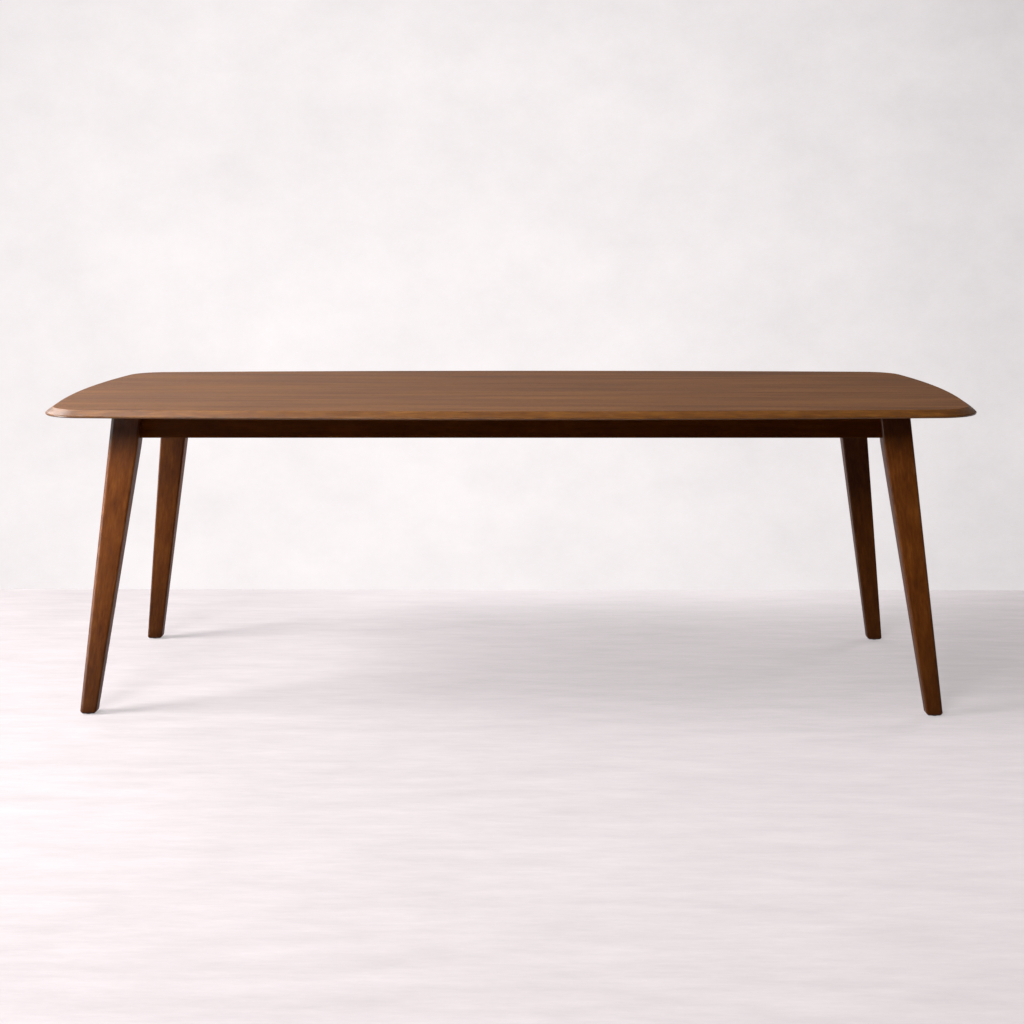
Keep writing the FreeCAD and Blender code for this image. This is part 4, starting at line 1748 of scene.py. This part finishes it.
@dataclass
class Studio:
    """A pale floor that meets a pale wall, soft boxes and panels, and the camera.

    Attributes:
        wall_line: how far behind the middle of the table the floor meets the wall.
        floor_half: half the size of the floor.
        floor_tone, floor_streak: tones of the floor's diffuse part, which takes the shadows.
        floor_streaks, streak_stops: features per metre of the streaks, and where the tones stand in them.
        floor_roughness: of the diffuse part.
        floor_bounce: its tone for the light that it throws back up.
        floor_glow: what the floor shows without any light on it, near the table.
        floor_fade: distances between which the floor fades to white.
        painted_wall_light: painted light, how much brighter the floor is made beside the wall, as if lit from
            it.
        wall_lights, wall_lights_along: places along Y and along X between which that grows from nothing.
        wall_fades_along: places along X between which that grows from nothing again, from the right.
        painted_front_shade, front_dims: painted shade, how much the floor is darkened in front, and between
            which places along Y.
        painted_right_shadow: painted shadow, how much the floor is darkened at the right end of the table.
        right_dims_along, right_dims_across: places along X and along Y between which that painted shadow
            grows.
        wall_tone: tone of the wall.
        wall_height: of the wall.
        painted_pool_centre: X and Z of the middle of a painted pool of light, where the wall is brightest.
        painted_pool_fall, wall_fall_reach: how much darker the painted pool is at that distance from its
            middle.
        wall_fall_limit: the largest multiple of that fall.
        wall_clouds, cloud_swing: features per metre of its clouds, and how far they move its tone.
        light_base: the world's light.
        light_left, light_back, light_above: how much it grows in three directions.
        light_window, window_direction, window_focus: a bright patch behind the left end, and its narrowness.
        mirror_share: how much of the pale backdrop shows in reflections, as in a studio with a dark side.
        eye: place of the camera.
        focal_pixels: focal length in pixels of the picture.
        picture_width: in pixels.
        sensor: width of the camera's sensor, in millimetres.
        pitch, yaw, roll: how the camera looks down, to the right and tilts, in radians.
    """

    wall_line: float = 0.97
    floor_half: float = 30.0
    floor_tone: Colour = srgb(173, 165, 167)
    floor_streak: Colour = srgb(147, 139, 141)
    floor_streaks: Triple = (3.4, 16.0, 1.0)
    streak_stops: Pair = (0.3, 0.7)
    floor_roughness: float = 0.8
    floor_bounce: Colour = srgb(66, 60, 56)
    floor_glow: float = 0.42
    floor_fade: Pair = (2.6, 6.0)
    painted_wall_light: float = 0.24
    wall_lights: Pair = (0.3, 1.0)
    wall_lights_along: Pair = (-1.5, 0.2)
    wall_fades_along: Pair = (2.0, 0.8)
    painted_front_shade: float = 0.1
    front_dims: Pair = (-1.0, -2.4)
    painted_right_shadow: float = 0.11
    right_dims_along: Pair = (0.5, 1.7)
    right_dims_across: Pair = (-0.6, 0.1)
    wall_tone: Colour = srgb(252, 246, 247)
    wall_height: float = 9.0
    painted_pool_centre: Pair = (-0.7, 0.52)
    painted_pool_fall: float = 0.22
    wall_fall_reach: float = 2.2
    wall_fall_limit: float = 1.5
    wall_clouds: Triple = (2.0, 2.0, 2.6)
    cloud_swing: float = 0.14
    light_base: float = 0.02
    light_left: float = 0.2
    light_back: float = 0.12
    light_above: float = 0.02
    light_window: float = 1.7
    window_direction: Triple = (-0.52, 0.71, 0.47)
    window_focus: float = 8.0
    mirror_share: float = 0.12
    eye: Triple = (0.0585, -4.1905, 1.1966)
    focal_pixels: float = 1649.17
    picture_width: float = 1024.0
    sensor: float = 36.0
    pitch: float = 0.18078
    yaw: float = -0.01377
    roll: float = -0.00178

    def lamps(self) -> list[Lamp]:
        """Soft boxes at the left and in front, panels that put a sheen on edges, and a fill at the right.

        Returns:
            The lamps.
        """
        left_corner = (-1.09, -0.45, 0.74)
        return [
            Lamp("soft box left", (-3.9, -0.95, 2.95), (0.0, 0.0, 0.6), 1.6, 272.0, shade_only=True),
            Lamp("soft box front", (-1.6, -4.55, 3.05), (0.0, 0.0, 0.5), 1.7, 178.0),
            Lamp("panel over the left end", (-3.25, 0.74, 3.22), left_corner, 0.8, 66.0, sheen_only=True),
            Lamp("panel high over the left end", (-2.38, -0.44, 5.0), left_corner, 1.5, 108.0,
                 sheen_only=True),
            Lamp("glint at the left corner", (-2.63, 1.15, 1.96), left_corner, 0.4, 9.0, sheen_only=True),
            Lamp("panel beside the left legs", (-3.4, -1.2, 0.36), (-1.0, -0.35, 0.36), 0.7, 190.0,
                 sheen_only=True),
            Lamp("fill behind the right end", (3.4, 2.4, 0.9), (1.0, 0.35, 0.4), 1.2, 60.0, shade_only=True),
        ]

    def build_camera(self) -> None:
        """The camera: turned by pitch, yaw and roll from looking along +Y."""
        data = bpy.data.cameras.new("camera")
        data.sensor_width = self.sensor
        data.lens = self.focal_pixels / self.picture_width * self.sensor
        camera = bpy.data.objects.new("camera", data)
        bpy.context.scene.collection.objects.link(camera)
        level = Euler((math.pi / 2 - self.pitch, 0.0, -self.yaw)).to_matrix()
        turn = level @ Matrix.Rotation(self.roll, 3, "Z")
        camera.matrix_world = Matrix.Translation(self.eye) @ turn.to_4x4()
        bpy.context.scene.camera = camera

    def build_sheet(self, name: str, corners: list[Triple], finish: bpy.types.Material) -> bpy.types.Object:
        """A flat sheet of the studio, which isn't part of the table.

        Args:
            name: name of the sheet.
            corners: in order, seen from its front.
            finish: its material.

        Returns:
            The sheet.
        """
        mesh = bpy.data.meshes.new(name)
        mesh.from_pydata(corners, [], [(0, 1, 2, 3)])
        sheet = bpy.data.objects.new(name, mesh)
        bpy.context.scene.collection.objects.link(sheet)
        sheet.data.materials.append(finish)
        return sheet

    def build_floor_and_wall(self) -> None:
        """The floor, and a wall that is seen from its front and takes no part in the light."""
        half, back, top = self.floor_half, self.wall_line, self.wall_height
        floor = [(-half, -half, 0), (half, -half, 0), (half, half, 0), (-half, half, 0)]
        self.build_sheet("floor", floor, self.floor_material())
        upright = [(-half, back, 0), (half, back, 0), (half, back, top), (-half, back, top)]
        wall = self.build_sheet("wall", upright, self.wall_material())
        wall.visible_diffuse = wall.visible_glossy = wall.visible_shadow = False

    def floor_material(self) -> bpy.types.Material:
        """The floor's finish: a part that takes shadows, and a glow for what is seen, which grows far away.

        The glow holds painted light beside the wall, and painted shade in front and at the right end of the
        table.

        Returns:
            The material.
        """
        board = FinishBoard("pale floor")
        place = board.object_place(Timber.LENGTHWISE)
        right, back, _ = board.split(place)
        streaks = board.noise(place, self.floor_streaks, detail=7.0, roughness=0.8)
        tone = board.ramp(streaks, self.streak_stops, (self.floor_streak, self.floor_tone))
        path = board.add("ShaderNodeLightPath").outputs
        board.paint(board.blend(path["Is Diffuse Ray"], tone, self.floor_bounce), self.floor_roughness)
        board.shine(0.0)
        seen = board.larger(board.larger(path["Is Camera Ray"], path["Is Glossy Ray"]),
                            path["Is Transmission Ray"])
        # Painted light: the glow is raised beside the wall, as if the wall lit the floor. Painted shade: it
        # is lowered in front and, as a shadow, at the right end of the table.
        painted_light_by_wall = board.times(board.between(back, *self.wall_lights), self.painted_wall_light)
        for places in (self.wall_lights_along, self.wall_fades_along):
            painted_light_by_wall = board.times(painted_light_by_wall, board.between(right, *places))
        painted_shade_in_front = board.times(board.between(back, *self.front_dims), -self.painted_front_shade)
        painted_shadow_at_right = board.times(board.between(right, *self.right_dims_along), -self.painted_right_shadow)
        painted_shadow_at_right = board.times(painted_shadow_at_right, board.between(back, *self.right_dims_across))
        near = board.total(painted_light_by_wall, painted_shade_in_front, painted_shadow_at_right, self.floor_glow)
        far = board.between(board.measure("DISTANCE", place, FRAME_ORIGIN), *self.floor_fade)
        glow = board.total(near, board.times(far, 1.0 - self.floor_glow))
        board.glow(self.wall_tone, board.times(seen, glow))
        board.see_through_behind()
        return board.material

    def wall_material(self) -> bpy.types.Material:
        """The wall's finish: a painted pool of light, whose tone falls with the square of the distance from
        its middle.

        Returns:
            The material, with soft clouds.
        """
        board = FinishBoard("pale wall")
        place = board.object_place(Timber.LENGTHWISE)
        # Painted light: a pool of light on the wall, brightest at one place and falling off from it.
        x, z = self.painted_pool_centre
        away = board.measure("DISTANCE", place, (x, self.wall_line, z))
        square = board.maths("POWER", board.maths("DIVIDE", away, self.wall_fall_reach), 2.0)
        fall = board.times(board.maths("MINIMUM", square, self.wall_fall_limit), -self.painted_pool_fall)
        noise = board.noise(place, self.wall_clouds, detail=9.0, roughness=0.74)
        board.feed(board.shader.inputs["Base Color"], BLACK)
        board.glow(self.wall_tone, board.total(board.swing(noise, self.cloud_swing), 1.0, fall))
        board.shine(0.0)
        board.see_through_behind()
        return board.material

    def build_world(self) -> None:
        """The world: the pale wall for what is seen, a share of it for reflections, and else a soft light.

        The light's strength is a base, plus shares that grow towards the wall, to the left and upwards, plus
        a patch that is the cosine of the angle from the window, raised to a power.
        """
        world = bpy.data.worlds.new("studio")
        bpy.context.scene.world = world
        world.use_nodes = True
        board = NodeBoard(world.node_tree)
        direction = board.add("ShaderNodeTexCoord").outputs["Generated"]
        right, back, above = board.split(direction)
        left = board.times(right, -1.0)
        shares = ((left, self.light_left), (back, self.light_back), (above, self.light_above))
        grown = [board.times(board.larger(way, 0.0), share) for way, share in shares]
        facing = board.larger(board.measure("DOT_PRODUCT", direction, self.window_direction), 0.0)
        window = board.times(board.maths("POWER", facing, self.window_focus), self.light_window)
        light = board.tree.nodes["Background"]
        backdrop = board.add("ShaderNodeBackground")
        for background in (light, backdrop):
            board.feed(background.inputs["Color"], self.wall_tone)
        board.feed(light.inputs["Strength"], board.total(*grown, window, self.light_base))
        path = board.add("ShaderNodeLightPath").outputs
        in_full = board.larger(path["Is Camera Ray"], path["Is Transmission Ray"])
        in_mirror = board.times(path["Is Glossy Ray"], self.mirror_share)
        board.mix_shaders(board.larger(in_full, in_mirror), light, backdrop, "World Output")

    def build(self) -> None:
        """Builds the camera, the floor, the world and the lamps."""
        self.build_camera()
        self.build_floor_and_wall()
        self.build_world()
        for lamp in self.lamps():
            lamp.build()
        bpy.context.scene.view_settings.view_transform = "Standard"


def main() -> None:
    """Builds the top, the base, the finishes of the hidden solids and the studio."""
    logging.basicConfig(level=logging.INFO, format="%(message)s")
    low, high = cad_box
    face_low, face_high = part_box("top_face_veneer")
    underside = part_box("top_backing_veneer")[0].z
    apron_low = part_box("apron_back")[0].z
    glide_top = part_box("leg_back_right")[0].z

    walnut = StainedWood("walnut veneer", srgb(91, 53, 22), srgb(112, 69, 30), srgb(130, 84, 41),
                         srgb(170, 116, 66), blotch=(2.5, 9.0), figure=(1.9, 38.0), blotch_swing=0.3,
                         figure_swing=0.6, fibre_swing=0.3, sway=0.03, specular=0.108, roughness=0.5,
                         wear_share=0.1)
    lipping = StainedWood("stained lipping", srgb(84, 46, 7), srgb(107, 62, 11), srgb(128, 80, 22),
                          srgb(176, 122, 70), blotch=(16.0, 50.0), figure=(22.0, 160.0), blotch_swing=0.4,
                          figure_swing=0.45, roughness=0.36, specular=0.38, wear_share=0.15)
    # The legs' colour is darkened towards the floor by painted shade.
    leg = StainedWood("stained leg", srgb(82, 39, 6), srgb(111, 57, 12), srgb(133, 75, 24),
                      srgb(150, 98, 58), blotch=(13.0, 32.0), figure=(18.0, 130.0), sway=0.006, specular=0.1,
                      roughness=0.45, fleck_swing=0.22, foot_painted_shade=0.5)
    # The apron's tones are lighter than the legs' to make up for the shade under the top: painted light.
    apron = StainedWood("stained apron", srgb(104, 52, 4), srgb(128, 67, 7), srgb(149, 84, 15),
                        srgb(140, 80, 34), blotch=(8.0, 30.0), figure=(3.0, 90.0), specular=0.03)
    backing = StainedWood("backing veneer", srgb(120, 84, 54), srgb(142, 102, 66), srgb(164, 122, 84),
                          srgb(164, 122, 84), specular=0.2, roughness=0.6)

    outline = Outline(high.x - low.x, high.y - low.y)
    TableTop(outline, underside, high.z, face_high.z - face_low.z).dress(
        walnut.material(), lipping.material(), backing.material())
    Base(LegShape(underside, glide_top, apron_low)).dress(leg.material(), apron.material())
    dress_hidden_solids()
    Studio().build()


if __name__ == "__main__":
    main()
